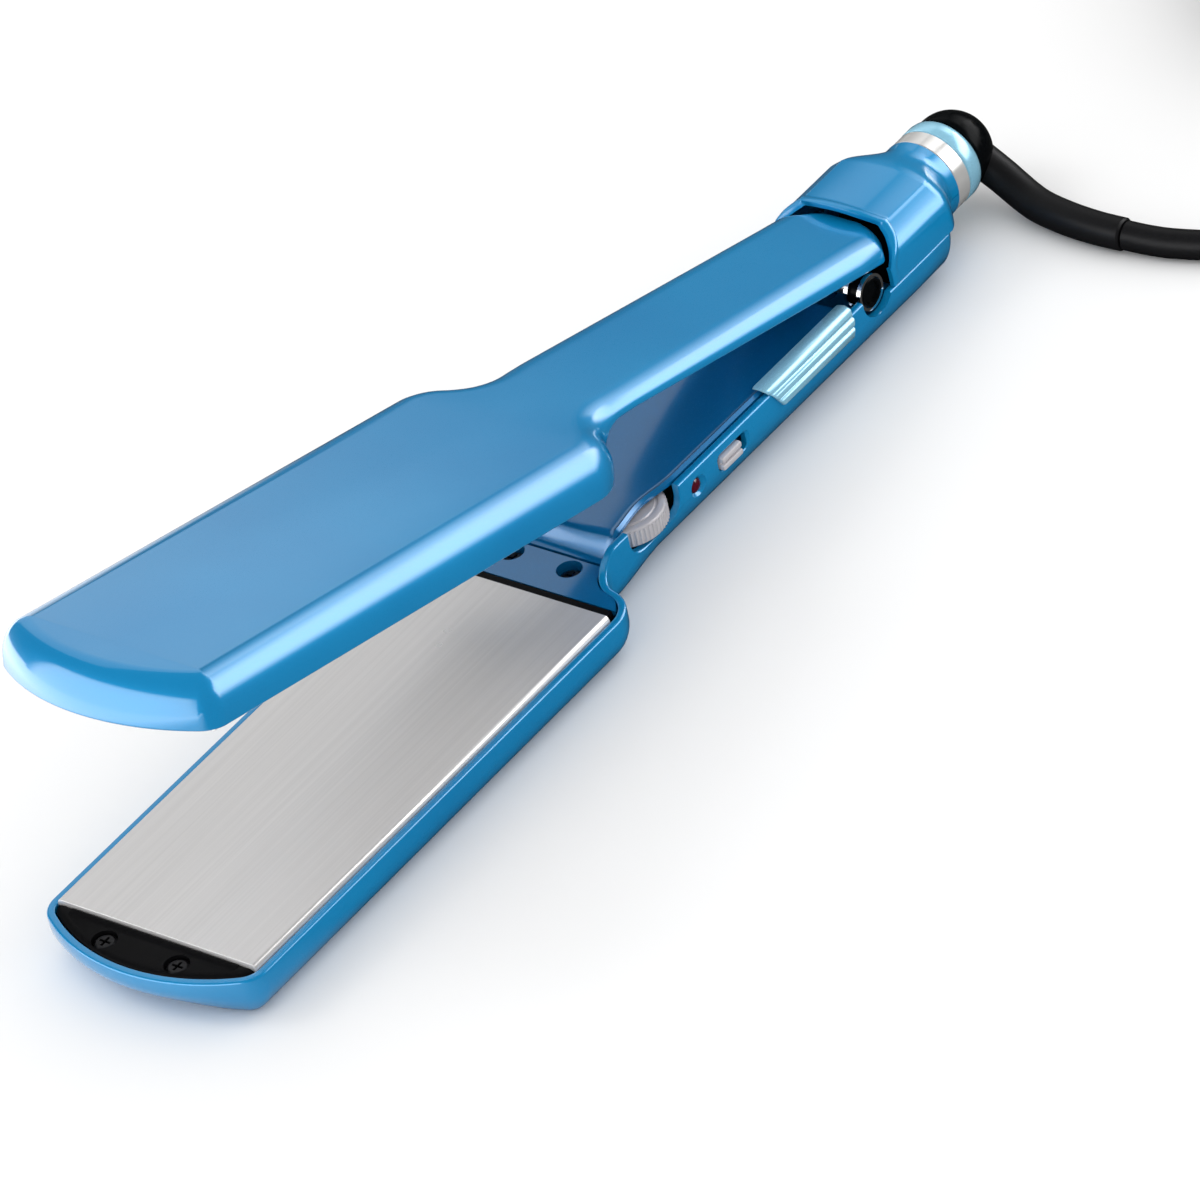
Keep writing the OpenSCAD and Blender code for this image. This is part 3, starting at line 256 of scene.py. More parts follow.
def block(low, high):
    (x0, y0, z0), (x1, y1, z1) = low, high
    return prism([(x0, y0), (x1, y0), (x1, y1), (x0, y1)], z0, z1)


def tube(path, radii, sides):
    """A closed tube along a path with a radius at each point."""
    rings = []
    for i, p in enumerate(path):
        t = (path[min(len(path) - 1, i + 1)] - path[max(0, i - 1)]).normalized()
        side = Vector(Z_AXIS).cross(t).normalized()
        up = t.cross(side)
        rings.append([p + radii[i] * (c * side + d * up) for c, d in circle(sides)])
    return hull(rings)


def make_mesh(name, parts, place=Matrix()):
    """A mesh of (points, faces) parts in millimetres, merged, with its faces outwards."""
    points, faces = [], []
    for part_points, part_faces in parts:
        faces += [[len(points) + i for i in face] for face in part_faces]
        points += part_points
    mesh = bpy.data.meshes.new(name)
    mesh.from_pydata([place @ Vector(p) * MM for p in points], [], faces)
    bm = bmesh.new()
    bm.from_mesh(mesh)
    bmesh.ops.remove_doubles(bm, verts=bm.verts, dist=2e-6)
    bmesh.ops.dissolve_degenerate(bm, edges=bm.edges, dist=1e-6)
    bmesh.ops.recalc_face_normals(bm, faces=bm.faces)
    bm.to_mesh(mesh)
    bm.free()
    return mesh


def new_object(name, data):
    piece = bpy.data.objects.new(name, data)
    bpy.context.scene.collection.objects.link(piece)
    return piece


def solid(name, parts, place=Matrix()):
    return new_object(name, make_mesh(name, parts, place))


def applied(piece):
    """The piece with its modifiers applied to its mesh."""
    bpy.context.view_layer.update()
    mesh = bpy.data.meshes.new_from_object(piece.evaluated_get(bpy.context.evaluated_depsgraph_get()))
    piece.modifiers.clear()
    old = piece.data
    piece.data = mesh
    bpy.data.meshes.remove(old)
    return piece


def cut(piece, *cutters, operation="DIFFERENCE"):
    """Cuts solids out of the piece, or joins them to it."""
    tools = [solid("cutter", [cutter]) for cutter in cutters]
    for tool in tools:
        step = piece.modifiers.new("cut", "BOOLEAN")
        step.operation = operation
        step.solver = "EXACT"
        step.object = tool
    applied(piece)
    for tool in tools:
        bpy.data.objects.remove(tool)
    return piece


def joined(piece, mesh):
    """The piece with another mesh's faces added."""
    bm = bmesh.new()
    bm.from_mesh(piece.data)
    bm.from_mesh(mesh)
    bm.to_mesh(piece.data)
    bm.free()
    return piece


def moved(piece, place):
    """The piece with its mesh moved by a matrix given in millimetres."""
    piece.data.transform(Matrix.Scale(MM, 4) @ place @ Matrix.Scale(1 / MM, 4))
    if place.determinant() < 0:
        piece.data.flip_normals()
    return piece


def finish_piece(piece, body, look, node, sharp=32):
    """Smooth shading up to a sharp angle, a finish, the solid that it replaces and the body it rides on."""
    mesh = piece.data
    mesh.polygons.foreach_set("use_smooth", [True] * len(mesh.polygons))
    mesh.set_sharp_from_angle(angle=radians(sharp))
    mesh.materials.clear()
    mesh.materials.append(finish(look))
    mesh.polygons.foreach_set("material_index", [0] * len(mesh.polygons))
    if node:
        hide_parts(node)
    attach(piece, body)
    return piece


def piece_of(name, parts, body, look, node, sharp=32, place=Matrix()):
    return finish_piece(solid(name, parts, place), body, look, node, sharp)


# ------------------------------------------------------------------ node trees

def put(tree, socket, value):
    """Sets an input to a value, or links it to another node's output."""
    if isinstance(value, bpy.types.NodeSocket):
        tree.links.new(value, socket)
    else:
        socket.default_value = value


def add(tree, kind, *values, **named):
    """A node. Values go to its first inputs, names to its properties or, with a capital, to its inputs."""
    node = tree.nodes.new(kind)
    inputs = {key: value for key, value in named.items() if key[0].isupper()}
    for key, value in named.items():
        if key not in inputs:
            setattr(node, key, value)
    for socket, value in zip(node.inputs, values):
        put(tree, socket, value)
    for key, value in inputs.items():
        put(tree, next(s for s in node.inputs if s.enabled and s.name == key.replace("_", " ")), value)
    return node


def new_tree(name, geometry, *floats):
    """A geometry node tree that is given a geometry, floats and a finish, and the outputs that give them."""
    tree = bpy.data.node_groups.new(name, "GeometryNodeTree")
    kinds = {geometry: "Geometry", **dict.fromkeys(floats, "Float"), "Finish": "Material"}
    for label, kind in kinds.items():
        tree.interface.new_socket(name=label, in_out="INPUT", socket_type="NodeSocket" + kind)
    tree.interface.new_socket(name="Geometry", in_out="OUTPUT", socket_type="NodeSocketGeometry")
    return tree, tree.nodes.new("NodeGroupInput").outputs


def end_tree(tree, given, geometry):
    """Real, smooth geometry with the given finish as the tree's output."""
    real = add(tree, "GeometryNodeRealizeInstances", geometry)
    smooth = add(tree, "GeometryNodeSetShadeSmooth", Geometry=real.outputs[0])
    dressed = add(tree, "GeometryNodeSetMaterial", Geometry=smooth.outputs[0], Material=given["Finish"])
    add(tree, "NodeGroupOutput", dressed.outputs[0])
    return tree


def bored(tree, first, *others):
    """The first mesh less the others, or the union of the others."""
    node = add(tree, "GeometryNodeMeshBoolean", operation="DIFFERENCE" if first else "UNION")
    if first:
        put(tree, node.inputs["Mesh 1"], first)
    for other in others:
        tree.links.new(other, node.inputs["Mesh 2"])
    return node.outputs[0]


def spread(tree, given, mesh, rotation=(0, 0, 0)):
    """The tree's output: a mesh at each of the given places."""
    copies = add(tree, "GeometryNodeInstanceOnPoints", Points=given["Places"], Instance=mesh,
                 Rotation=rotation)
    return end_tree(tree, given, copies.outputs[0])


def grow(name, tree, look, points, values, chain=False):
    """A mesh grown by the tree from points, loose or in a chain. Points and values are in millimetres."""
    mesh = bpy.data.meshes.new(name)
    edges = [(i, i + 1) for i in range(len(points) - 1)] if chain else []
    mesh.from_pydata([Vector(p) * MM for p in points], edges, [])
    piece = new_object(name, mesh)
    step = piece.modifiers.new("grow", "NODES")
    step.node_group = tree
    given = {label: value * MM for label, value in values.items()}
    given["Finish"] = finish(look)
    for item in tree.interface.items_tree:
        if item.name in given:
            step[item.identifier] = given[item.name]
    return applied(piece)


# ------------------------------------------------------------------ materials

FINE_RELIEF = 0.00002
PEBBLE_RELIEF = 0.00005


def new_material(name):
    material = bpy.data.materials.new(name)
    material.use_nodes = True
    return material, material.node_tree, material.node_tree.nodes["Principled BSDF"]


def toned(tone, factor):
    return tuple(level * factor for level in tone)


def grain(tree, scale, detail=3, stretch=(1, 1, 1)):
    """Noise on the piece's own coordinates."""
    place = add(tree, "ShaderNodeTexCoord").outputs["Object"]
    mapping = add(tree, "ShaderNodeMapping", Vector=place, Scale=stretch)
    return add(tree, "ShaderNodeTexNoise", Vector=mapping.outputs[0], Scale=scale, Detail=detail).outputs[0]


def span(tree, value, low, high, new_low, new_high):
    """A value carried from one range to another."""
    return add(tree, "ShaderNodeMapRange", value, low, high, new_low, new_high).outputs[0]


def blend(tree, factor, *tones):
    """A mix of two colours."""
    node = add(tree, "ShaderNodeMix", factor, data_type="RGBA")
    for socket, tone in zip(node.inputs[6:8], tones):
        socket.default_value = (*tone, 1)
    return node.outputs[2]


def textured(name, noise, tones, contrast, rough, relief, depth, **constants):
    """A material from noise, which gives what drives its colour, its roughness and its relief."""
    material, tree, bsdf = new_material(name)
    shade, smear, height = noise(tree)
    put(tree, bsdf.inputs["Base Color"], blend(tree, span(tree, shade, *contrast, 0, 1), *tones))
    put(tree, bsdf.inputs["Roughness"], span(tree, smear, 0.3, 0.7, *rough))
    if relief:
        bump = add(tree, "ShaderNodeBump", Height=height, Strength=relief, Distance=depth)
        put(tree, bsdf.inputs["Normal"], bump.outputs[0])
    for label, value in constants.items():
        bsdf.inputs[label.replace("_", " ")].default_value = value
    return material


def pearl_paint(name, first, second, metal=0.2, rough=0.32):
    """Blue pearl under a clear coat, with fine flakes."""
    def noise(tree):
        flakes = grain(tree, 9000, 1)
        level = add(tree, "ShaderNodeMath", flakes, 0.6, grain(tree, 22), operation="MULTIPLY_ADD")
        return level.outputs[0], flakes, flakes
    return textured(name, noise, (first, second), (0.45, 1.15), (rough - 0.05, rough + 0.06), 0.05,
                    FINE_RELIEF, Metallic=metal, Specular_IOR_Level=0.15, Coat_Weight=1,
                    Coat_Roughness=0.1, Coat_IOR=1.7)


def coated_plate(name, tone):
    """Fine-ground plate with a smooth coating: faint grinding lines along its length."""
    def noise(tree):
        lines = grain(tree, 260, 4, (0.06, 6, 6))
        return lines, grain(tree, 40), lines
    return textured(name, noise, (tone, toned(tone, 1.08)), (0.3, 0.7), (0.27, 0.34), 0.02, FINE_RELIEF,
                    Metallic=0.5)


def polished(name, tone, rough=0.06, metal=1.0, relief=0.0):
    """Metal with faint smears."""
    return textured(name, lambda tree: [grain(tree, 300)] * 3, (tone, toned(tone, 0.93)), (0.3, 0.7),
                    (rough, rough * 1.6), relief, FINE_RELIEF, Metallic=metal)


def moulded(name, tone, rough, relief=0.15, scale=1500, shine=0.5, coat=0.0):
    """Moulded plastic or rubber with a fine grain."""
    return textured(name, lambda tree: [grain(tree, scale)] * 3, (tone, toned(tone, 1.3)), (0.35, 0.65),
                    (rough - 0.06, rough + 0.06), relief, PEBBLE_RELIEF, Specular_IOR_Level=shine,
                    Coat_Weight=coat)


MATERIALS = {}


def finish(name):
    """The object's finishes, each made once."""
    if name not in MATERIALS:
        c = bpy.context.scene.iron_colours
        maker, *values = {
            "pearl shell": (pearl_paint, c.paint, c.paint_light),
            "light pearl trim": (pearl_paint, c.trim, toned(c.trim, 1.1), 0.25, 0.25),
            # Painted shade: the inner covers' blue is darker than the shells' to stand in for the shade
            # between the arms.
            "inner cover gloss": (pearl_paint, c.cover, toned(c.cover, 1.3), 0.35, 0.22),
            "coated plate": (coated_plate, c.plate),
            "chrome": (polished, c.metal, 0.13, 0.5),
            "hinge chrome": (polished, c.metal),
            "dial metal": (polished, (0.66, 0.64, 0.67), 0.26, 0.25, 0.05),
            "spring steel": (polished, (0.45, 0.45, 0.46), 0.25, 1.0, 0.1),
            "black screw": (polished, (0.03, 0.03, 0.033), 0.3, 0.8, 0.1),
            "gilt contact": (polished, (0.8, 0.55, 0.22), 0.22, 1.0, 0.05),
            "black moulding": (moulded, c.black, 0.42, 0.15, 1500, 0.06),
            "cord rubber": (moulded, (0.006, 0.006, 0.007), 0.42, 0.25, 2500, 0.2),
            "swivel gloss": (moulded, (0.002, 0.0025, 0.003), 0.2, 0.03, 1200, 0.05),
            "ceramic": (moulded, (0.78, 0.76, 0.7), 0.6),
            "lamp lens": (moulded, c.lamp, 0.12, 0.02, 900, 0.5, 1.0),
            "circuit board": (moulded, (0.01, 0.1, 0.035), 0.4, 0.1, 700),
        }[name]
        MATERIALS[name] = maker(name, *values)
    return MATERIALS[name]


# ------------------------------------------------------------------ outlines and sections of the arms

def raise_upper(s):
    """From the upper arm drawn face-up, with its plate's face at Z = 0, to where it stands open."""
    hinge = Vector((HINGE_X, 0, s.hinge_z))
    turn = Matrix.Rotation(radians(OPEN_ANGLE), 4, "Y")
    return (Matrix.Translation(hinge) @ turn @ Matrix.Translation(-hinge)
            @ Matrix.Translation((0, 0, s.face_height + CLOSED_GAP)) @ Matrix.Diagonal((1, 1, -1, 1)))


def arc(cx, cy, r, a0, a1, n, side=1):
    """Points (x, half width, outward normal x, outward normal y) on an arc."""
    turns = [(cos(radians(a)), sin(radians(a))) for a in steps(a0, a1, n)]
    return [(cx + r * c, cy + r * d, side * c, side * d) for c, d in turns]


def shoulders(s, half, concave, convex, n=14):
    """From a handle's half width out to the head's."""
    dy = concave + convex - (s.head_half - half)
    dx = sqrt((concave + convex) ** 2 - dy * dy)
    b = degrees(atan2(dy, dx))
    return (arc(dx, half + concave, concave, 270, 180 + b, n, -1)
            + arc(0, s.head_half - convex, convex, b, 90, n))


def tip_outline(s, n=16):
    """The tip's corner and front curve, ending on the centre line."""
    corner = s.tip_corner
    cx, cy, reach = s.tip_x + TIP_RADIUS, s.head_half - corner, TIP_RADIUS - corner
    dx = sqrt(reach * reach - cy * cy)
    a = 180 - degrees(atan2(cy, dx))
    front = [p for p in arc(cx, 0, TIP_RADIUS, a, 180, n)[1:] if p[1] > 0.001]
    return arc(cx - dx, cy, corner, 90, a, n) + front + [(s.tip_x, 0, -1, 0)]


def edge_width(s, x, along_sides):
    """Width of a head's rounding: narrower than the corner's radius near the tip."""
    near, far = s.tip_x + s.tip_corner, s.tip_x + 3.5 * s.tip_corner
    return lerp(s.tip_corner - 0.2, along_sides, ease(near, far, x))


def distinct(path):
    kept = [path[0]]
    for p in path[1:]:
        if hypot(p[0] - kept[-1][0], p[1] - kept[-1][1]) > 0.01:
            kept.append(p)
    return kept


def tray_half(edge_w, edge_h, rim, wall):
    """Half of a tray's section: outer and inner (inset, height) points from the floor to the rim."""
    turns = [(cos(radians(a)), sin(radians(a))) for a in steps(0, 90, EDGE_STEPS)]
    low = rim - RIM_ROUND
    outer = [(edge_w - edge_w * d, edge_h - edge_h * c) for c, d in turns] + [(0, low)]
    outer += [(RIM_ROUND - RIM_ROUND * cos(a), low + RIM_ROUND * sin(a)) for a in steps(pi / 8, pi / 2, 3)]
    inner = [(edge_w - (edge_w - wall) * d, edge_h - (edge_h - wall) * c) for c, d in turns] + [(wall, low)]
    inner += [(wall - 0.3 + 0.3 * cos(a), rim - 0.3 + 0.3 * sin(a)) for a in steps(0, pi / 2, 3)]
    return outer, inner


def tray_ring(p, outer, inner):
    """One ring of a tray at a point of its outline: over the outside from the near rim, and back inside."""
    x, y, nx, ny = p
    out = [(x - nx * d, y - ny * d, z) for d, z in outer]
    inn = [(x - nx * d, y - ny * d, z) for d, z in inner]
    ring = [(u, -v, w) for u, v, w in reversed(out)] + [(out[0][0], 0, out[0][2])] + out
    return ring + inn[::-1] + [(inn[0][0], 0, inn[0][2])] + [(u, -v, w) for u, v, w in inn]


def rounded(s, ring, t, reach, up):
    """Turns a section towards the round neck, open at the top or at the bottom."""
    k = len(ring) // 2
    turned = []
    for j, (x, y, z) in enumerate(ring):
        outside = j < k
        u = (j if outside else len(ring) - 1 - j) / (k - 1)
        a = radians(-reach + 2 * reach * u)
        r = s.neck_radius if outside else NECK_LINER
        turned.append((x, lerp(y, r * sin(a), t), lerp(z, SWIVEL_Z + up * r * cos(a), t)))
    return turned


def lower_outline(s):
    straight = steps(NECK_END, HOOD_REAR - 2, 26) + [130, HINGE_X + 8, HINGE_X + 0.2, HINGE_X - 0.2]
    straight += [90, 70, 50] + steps(36, 14.6, 26)
    return distinct([(x, s.half, 0, 1) for x in straight] + shoulders(s, s.half, 5, 9) + tip_outline(s))


def lower_section(s, p):
    x = p[0]
    head_rim, handle_rim = s.face_height - s.lower_rim_drop, s.face_height + s.handle_rim
    rim = s.seam_z if x > HINGE_X else lerp(head_rim, handle_rim, ease(8.5, 16.5, x))
    edge = lerp(s.head_edge, s.handle_edge, ease(14, 34, x))
    ring = [(u, v, w + s.tip_rise * ease(s.tip_x + 12, s.tip_x + 1, u) * (1 - w / rim))
            for u, v, w in tray_ring(p, *tray_half(edge_width(s, x, edge), edge, rim, s.wall))]
    if x <= HOOD_REAR - 2.9:
        return ring
    reach = degrees(acos((SWIVEL_Z - s.seam_z) / s.neck_radius))
    return rounded(s, ring, ease(HOOD_REAR - 3, NECK_END - 3, x), reach, -1)


def upper_along(x):
    """0 behind the upper arm's shoulders to 1 at the hinge."""
    return min(1, max(0, (x - 28) / (HINGE_X - 28)))


def upper_outline(s):
    rounding = [(-1.2, 0), (-0.5, 0.3), (1.1, 1.7), (2.9, 3.2), (3.9, 4.8)]
    path = []
    for x in [HOOD_X + q for q in (3.9, 3.4, 2.9, 2, 1.1, 0.3, -0.5, -1.2)] + [110, 90, 70, 50, 29]:
        wide = lerp(s.upper_handle_width / 2, s.upper_rear_width / 2, upper_along(x))
        path.append((x, wide - table(x - HOOD_X, rounding), 0, 1))
    return distinct(path + shoulders(s, s.upper_handle_width / 2, 14, 14) + tip_outline(s))


def upper_section(s, p):
    x = p[0]
    t = ease(4, 26, x)
    head_rim = s.upper_depth - s.upper_rim_drop
    rim = lerp(head_rim, lerp(4, 5.3, upper_along(x)), t)
    high = min(lerp(s.head_edge, 5.3, t), rim - RIM_ROUND - 0.1)
    wide = lerp(min(s.head_edge, head_rim - RIM_ROUND - 0.1), 6.5, t)
    return tray_ring(p, *tray_half(edge_width(s, x, wide), high, rim, s.wall))


# ------------------------------------------------------------------ the cord's route

RELIEF_ROUTE = [
    (167.5, -3.42, 11.42), (167.5, -5.5, 10.16), (167.5, -7.6, 8.9), (167.3, -10.6, 7.3), (166.6, -14, 5.95),
    (165.5, -18, 4.9), (164.4, -22, 4.45), (163.5, -27, 4.3), (162.9, -33, 4.2), (162.8, -39, 4.1),
    (163.2, -45, 4),
]
LEAD_ROUTE = [
    (163.25, -45.3, 3.9), (164, -51, 3.6), (165.4, -57, 3.4), (168.6, -66.2, 3.4), (173.9, -74.3, 3.4),
    (180.8, -81.2, 3.4), (189.1, -86.2, 3.4), (198.3, -89.3, 3.4), (208, -90.8, 3.4), (222, -91.3, 3.4),
    (237, -91.2, 3.4), (251, -90.8, 3.4), (265, -90.4, 3.4), (278.3, -90.25, 3.4),
]
END_STEPS = [
    (0.15, 0, 0), (3.2, 0.05, 0), (7.4, 0.9, 0.5), (16.3, 4.9, 2.3), (24.7, 10.8, 4.3), (31.8, 18.2, 6),
    (37.2, 26.9, 7.1), (40.6, 36.4, 7.6), (41.9, 46.5, 7.8), (40.9, 56, 8.3), (37.9, 63.2, 9.3),
    (33.1, 69.4, 10.8), (26.9, 74.2, 12.4), (20.4, 77.3, 13.7), (14.6, 78.3, 14.3), (11.9, 78.3, 14.3),
]
COIL_AT = (285, -90.25, 3.4)     # lowest point of the coil's outer turn
COIL_IN = 30
COIL_LAYERS = 4
LAYER_TURNS = 2.5
TURN_STEPS = 36


def coil_route(diameter):
    """Layers of turns, wound in and out, a little over a diameter apart."""
    pitch = diameter + 0.7
    outer = COIL_IN + LAYER_TURNS * pitch
    loops = int(COIL_LAYERS * LAYER_TURNS)
    centre = Vector(COIL_AT) + Vector((0, outer, 0))

    def fold(u):
        v = abs(u)
        return 2 * v * v + 0.125 if v < 0.25 else v

    def point(t):
        period = 2 * LAYER_TURNS
        u = t - period * int(t / period) - LAYER_TURNS
        radius = COIL_IN + pitch * fold(u)
        if abs(u) > LAYER_TURNS - 0.25 and 1 < t < loops - 1:
            radius = outer - pitch * fold(LAYER_TURNS - abs(u))
        k = int(t / LAYER_TURNS + 0.5)
        layer = k - 1 + ease(-0.25, 0.25, t - k * LAYER_TURNS)
        layer = min(COIL_LAYERS - 1, max(0, layer))
        a = 2 * pi * t - pi / 2
        return centre + Vector((radius * cos(a), radius * sin(a), pitch * layer))

    core = [point(i / TURN_STEPS) for i in range(loops * TURN_STEPS + 1)]
    return [core[0] - Vector((diameter, 0, 0))] + core + [core[-1] + Vector((diameter, 0, 0))]


# ------------------------------------------------------------------ operators

CAMERA_AT = (-1.2184, -1.207, 1.277)
CAMERA_AXES = ((0.58246, -0.79257, -0.18046), (0.57338, 0.24325, 0.78235), (-0.57617, -0.55916, 0.59613))
CAMERA_LENS = 306.2
AMBIENT = 1.14         # strength of the surroundings as light
DARK_STUDIO = 0.05     # strength of the surroundings in reflections
KEY_POWER = 2.6
REAR_GLOW = 0.58
SIDE_GLOW = 4.6
EDGE_GLOW = 2.6
FRONT_GLOW = 3.0
FLOOR_GLOW = 2.4
FLOOR_REACH = 4000
PANEL_STEPS = 40


class IRON_OT_stage(bpy.types.Operator):
    """Camera, pale floor and soft studio lights"""
    bl_idname = "iron.stage"
    bl_label = "Stage"

    def execute(self, context):
        scene = context.scene
        scene.view_settings.view_transform = "Standard"
        data = bpy.data.cameras.new("camera")
        data.sensor_width = 36
        data.lens = CAMERA_LENS
        data.clip_end = 20
        camera = new_object("camera", data)
        turn = Matrix(CAMERA_AXES).transposed().to_quaternion()
        camera.matrix_world = Matrix.LocRotScale(Vector(CAMERA_AT), turn, None)
        scene.camera = camera

        world = bpy.data.worlds.new("studio")
        scene.world = world
        world.use_nodes = True
        tree = world.node_tree
        rays = add(tree, "ShaderNodeLightPath").outputs["Is Glossy Ray"]
        sky = tree.nodes["Background"].inputs
        sky["Color"].default_value = (1, 1, 1, 1)
        put(tree, sky["Strength"], span(tree, rays, 0, 1, AMBIENT, DARK_STUDIO))

        self.floor()
        self.key_light()
        self.reflector("rear_reflector", (0.27, 0.27, 0.31), (0, -1, 0), 0.62, 0.46, REAR_GLOW,
                       lambda u, v: (u > -0.28) * ease(-0.1, 0.12, 0.268 + 1.3 * v - u)
                       * ease(0.25, 0.19, abs(v)))
        self.reflector("side_reflector", (0.66, -0.4, 0.36), (-0.82, 0.48, -0.2), 1.2, 0.68, SIDE_GLOW,
                       lambda u, v: ease(0.34, 0.1, abs(v)) * ease(0.6, 0.45, abs(u)))
        self.reflector("edge_reflector", (0.83, 0.1, 0.54), (-0.882, -0.124, -0.454), 0.84, 0.64, EDGE_GLOW,
                       lambda u, v: ease(-0.36, 0.2, u) * ease(0.32, 0.2, abs(v)) * ease(0.42, 0.36, u))
        self.reflector("front_reflector", (-0.66, 0.2, 0.4), (0.95, -0.3, 0), 1.5, 0.9, FRONT_GLOW,
                       lambda u, v: ease(0.36, 0.2, v) * ease(0.75, 0.55, abs(u)))
        return {"FINISHED"}

    def floor(self):
        """White floor. In reflections it is painted dark towards the cord, and glows bright far in front of
        the tips.
        """
        r, z = FLOOR_REACH, -0.05
        floor = solid("floor", [([(-r, -r, z), (r, -r, z), (r, r, z), (-r, r, z)], [(0, 1, 2, 3)])])
        material, tree, bsdf = new_material("studio floor")
        rays = add(tree, "ShaderNodeLightPath").outputs["Is Glossy Ray"]
        place = add(tree, "ShaderNodeTexCoord").outputs["Object"]
        ahead = add(tree, "ShaderNodeVectorMath", place, (-0.7, 0.7, 0), operation="DOT_PRODUCT")

        def reflected(*ranges):
            level = span(tree, ahead.outputs["Value"], *ranges)
            return add(tree, "ShaderNodeMath", rays, level, operation="MULTIPLY").outputs[0]
        # Painted reflection: for glossy rays only, the floor's colour is darkened and it glows, standing in
        # for dark and bright surroundings.
        dark = reflected(0.04, 0.1, 1, 0)
        put(tree, bsdf.inputs["Base Color"], blend(tree, dark, (0.9, 0.9, 0.9), (0.05, 0.05, 0.05)))
        put(tree, bsdf.inputs["Emission Strength"], reflected(0.15, 0.26, 0, FLOOR_GLOW))
        bsdf.inputs["Emission Color"].default_value = (1, 1, 1, 1)
        bsdf.inputs["Roughness"].default_value = 0.9
        bsdf.inputs["Specular IOR Level"].default_value = 0
        floor.data.materials.append(material)

    def key_light(self):
        """Area light that lights the iron and the floor, and stays out of reflections."""
        lamp = bpy.data.lights.new("key", "AREA")
        lamp.shape = "RECTANGLE"
        lamp.size = lamp.size_y = 0.5
        lamp.energy = KEY_POWER
        light = new_object("key", lamp)
        light.visible_glossy = False
        target = Vector((0.02, 0, 0.02))
        at = target + Vector((-0.5, 0.75, 0.9)).normalized() * 1.6
        light.matrix_world = Matrix.LocRotScale(at, (target - at).to_track_quat("-Z", "Y"), None)

    def reflector(self, name, centre, facing, width, height, strength, glow):
        """Panel seen only in reflections, as bright as glow(across, up) from its middle, 0 to 1."""
        facing = Vector(facing).normalized()
        across = Vector(Z_AXIS).cross(facing).normalized()
        if across.x < 0:
            across = -across
        up = (Vector(Z_AXIS) - facing * facing.z).normalized()
        places = [(u, v) for v in steps(-height / 2, height / 2, PANEL_STEPS)
                  for u in steps(-width / 2, width / 2, PANEL_STEPS)]
        n = PANEL_STEPS + 1
        faces = [(i, i + 1, i + n + 1, i + n) for i in range(n * (n - 1)) if (i + 1) % n]
        mesh = bpy.data.meshes.new(name)
        mesh.from_pydata([Vector(centre) + across * u + up * v for u, v in places], [], faces)
        level = mesh.attributes.new("glow", "FLOAT", "POINT")
        level.data.foreach_set("value", [glow(u, v) for u, v in places])
        panel = new_object(name, mesh)
        material, tree, bsdf = new_material(name)
        bsdf.inputs["Base Color"].default_value = (0, 0, 0, 1)
        bsdf.inputs["Emission Color"].default_value = (1, 1, 1, 1)
        read = add(tree, "ShaderNodeAttribute", attribute_name="glow").outputs["Fac"]
        put(tree, bsdf.inputs["Emission Strength"], span(tree, read, 0, 1, 0, strength))
        mesh.materials.append(material)
        for rays in ("camera", "diffuse", "shadow", "transmission", "volume_scatter"):
            setattr(panel, "visible_" + rays, False)


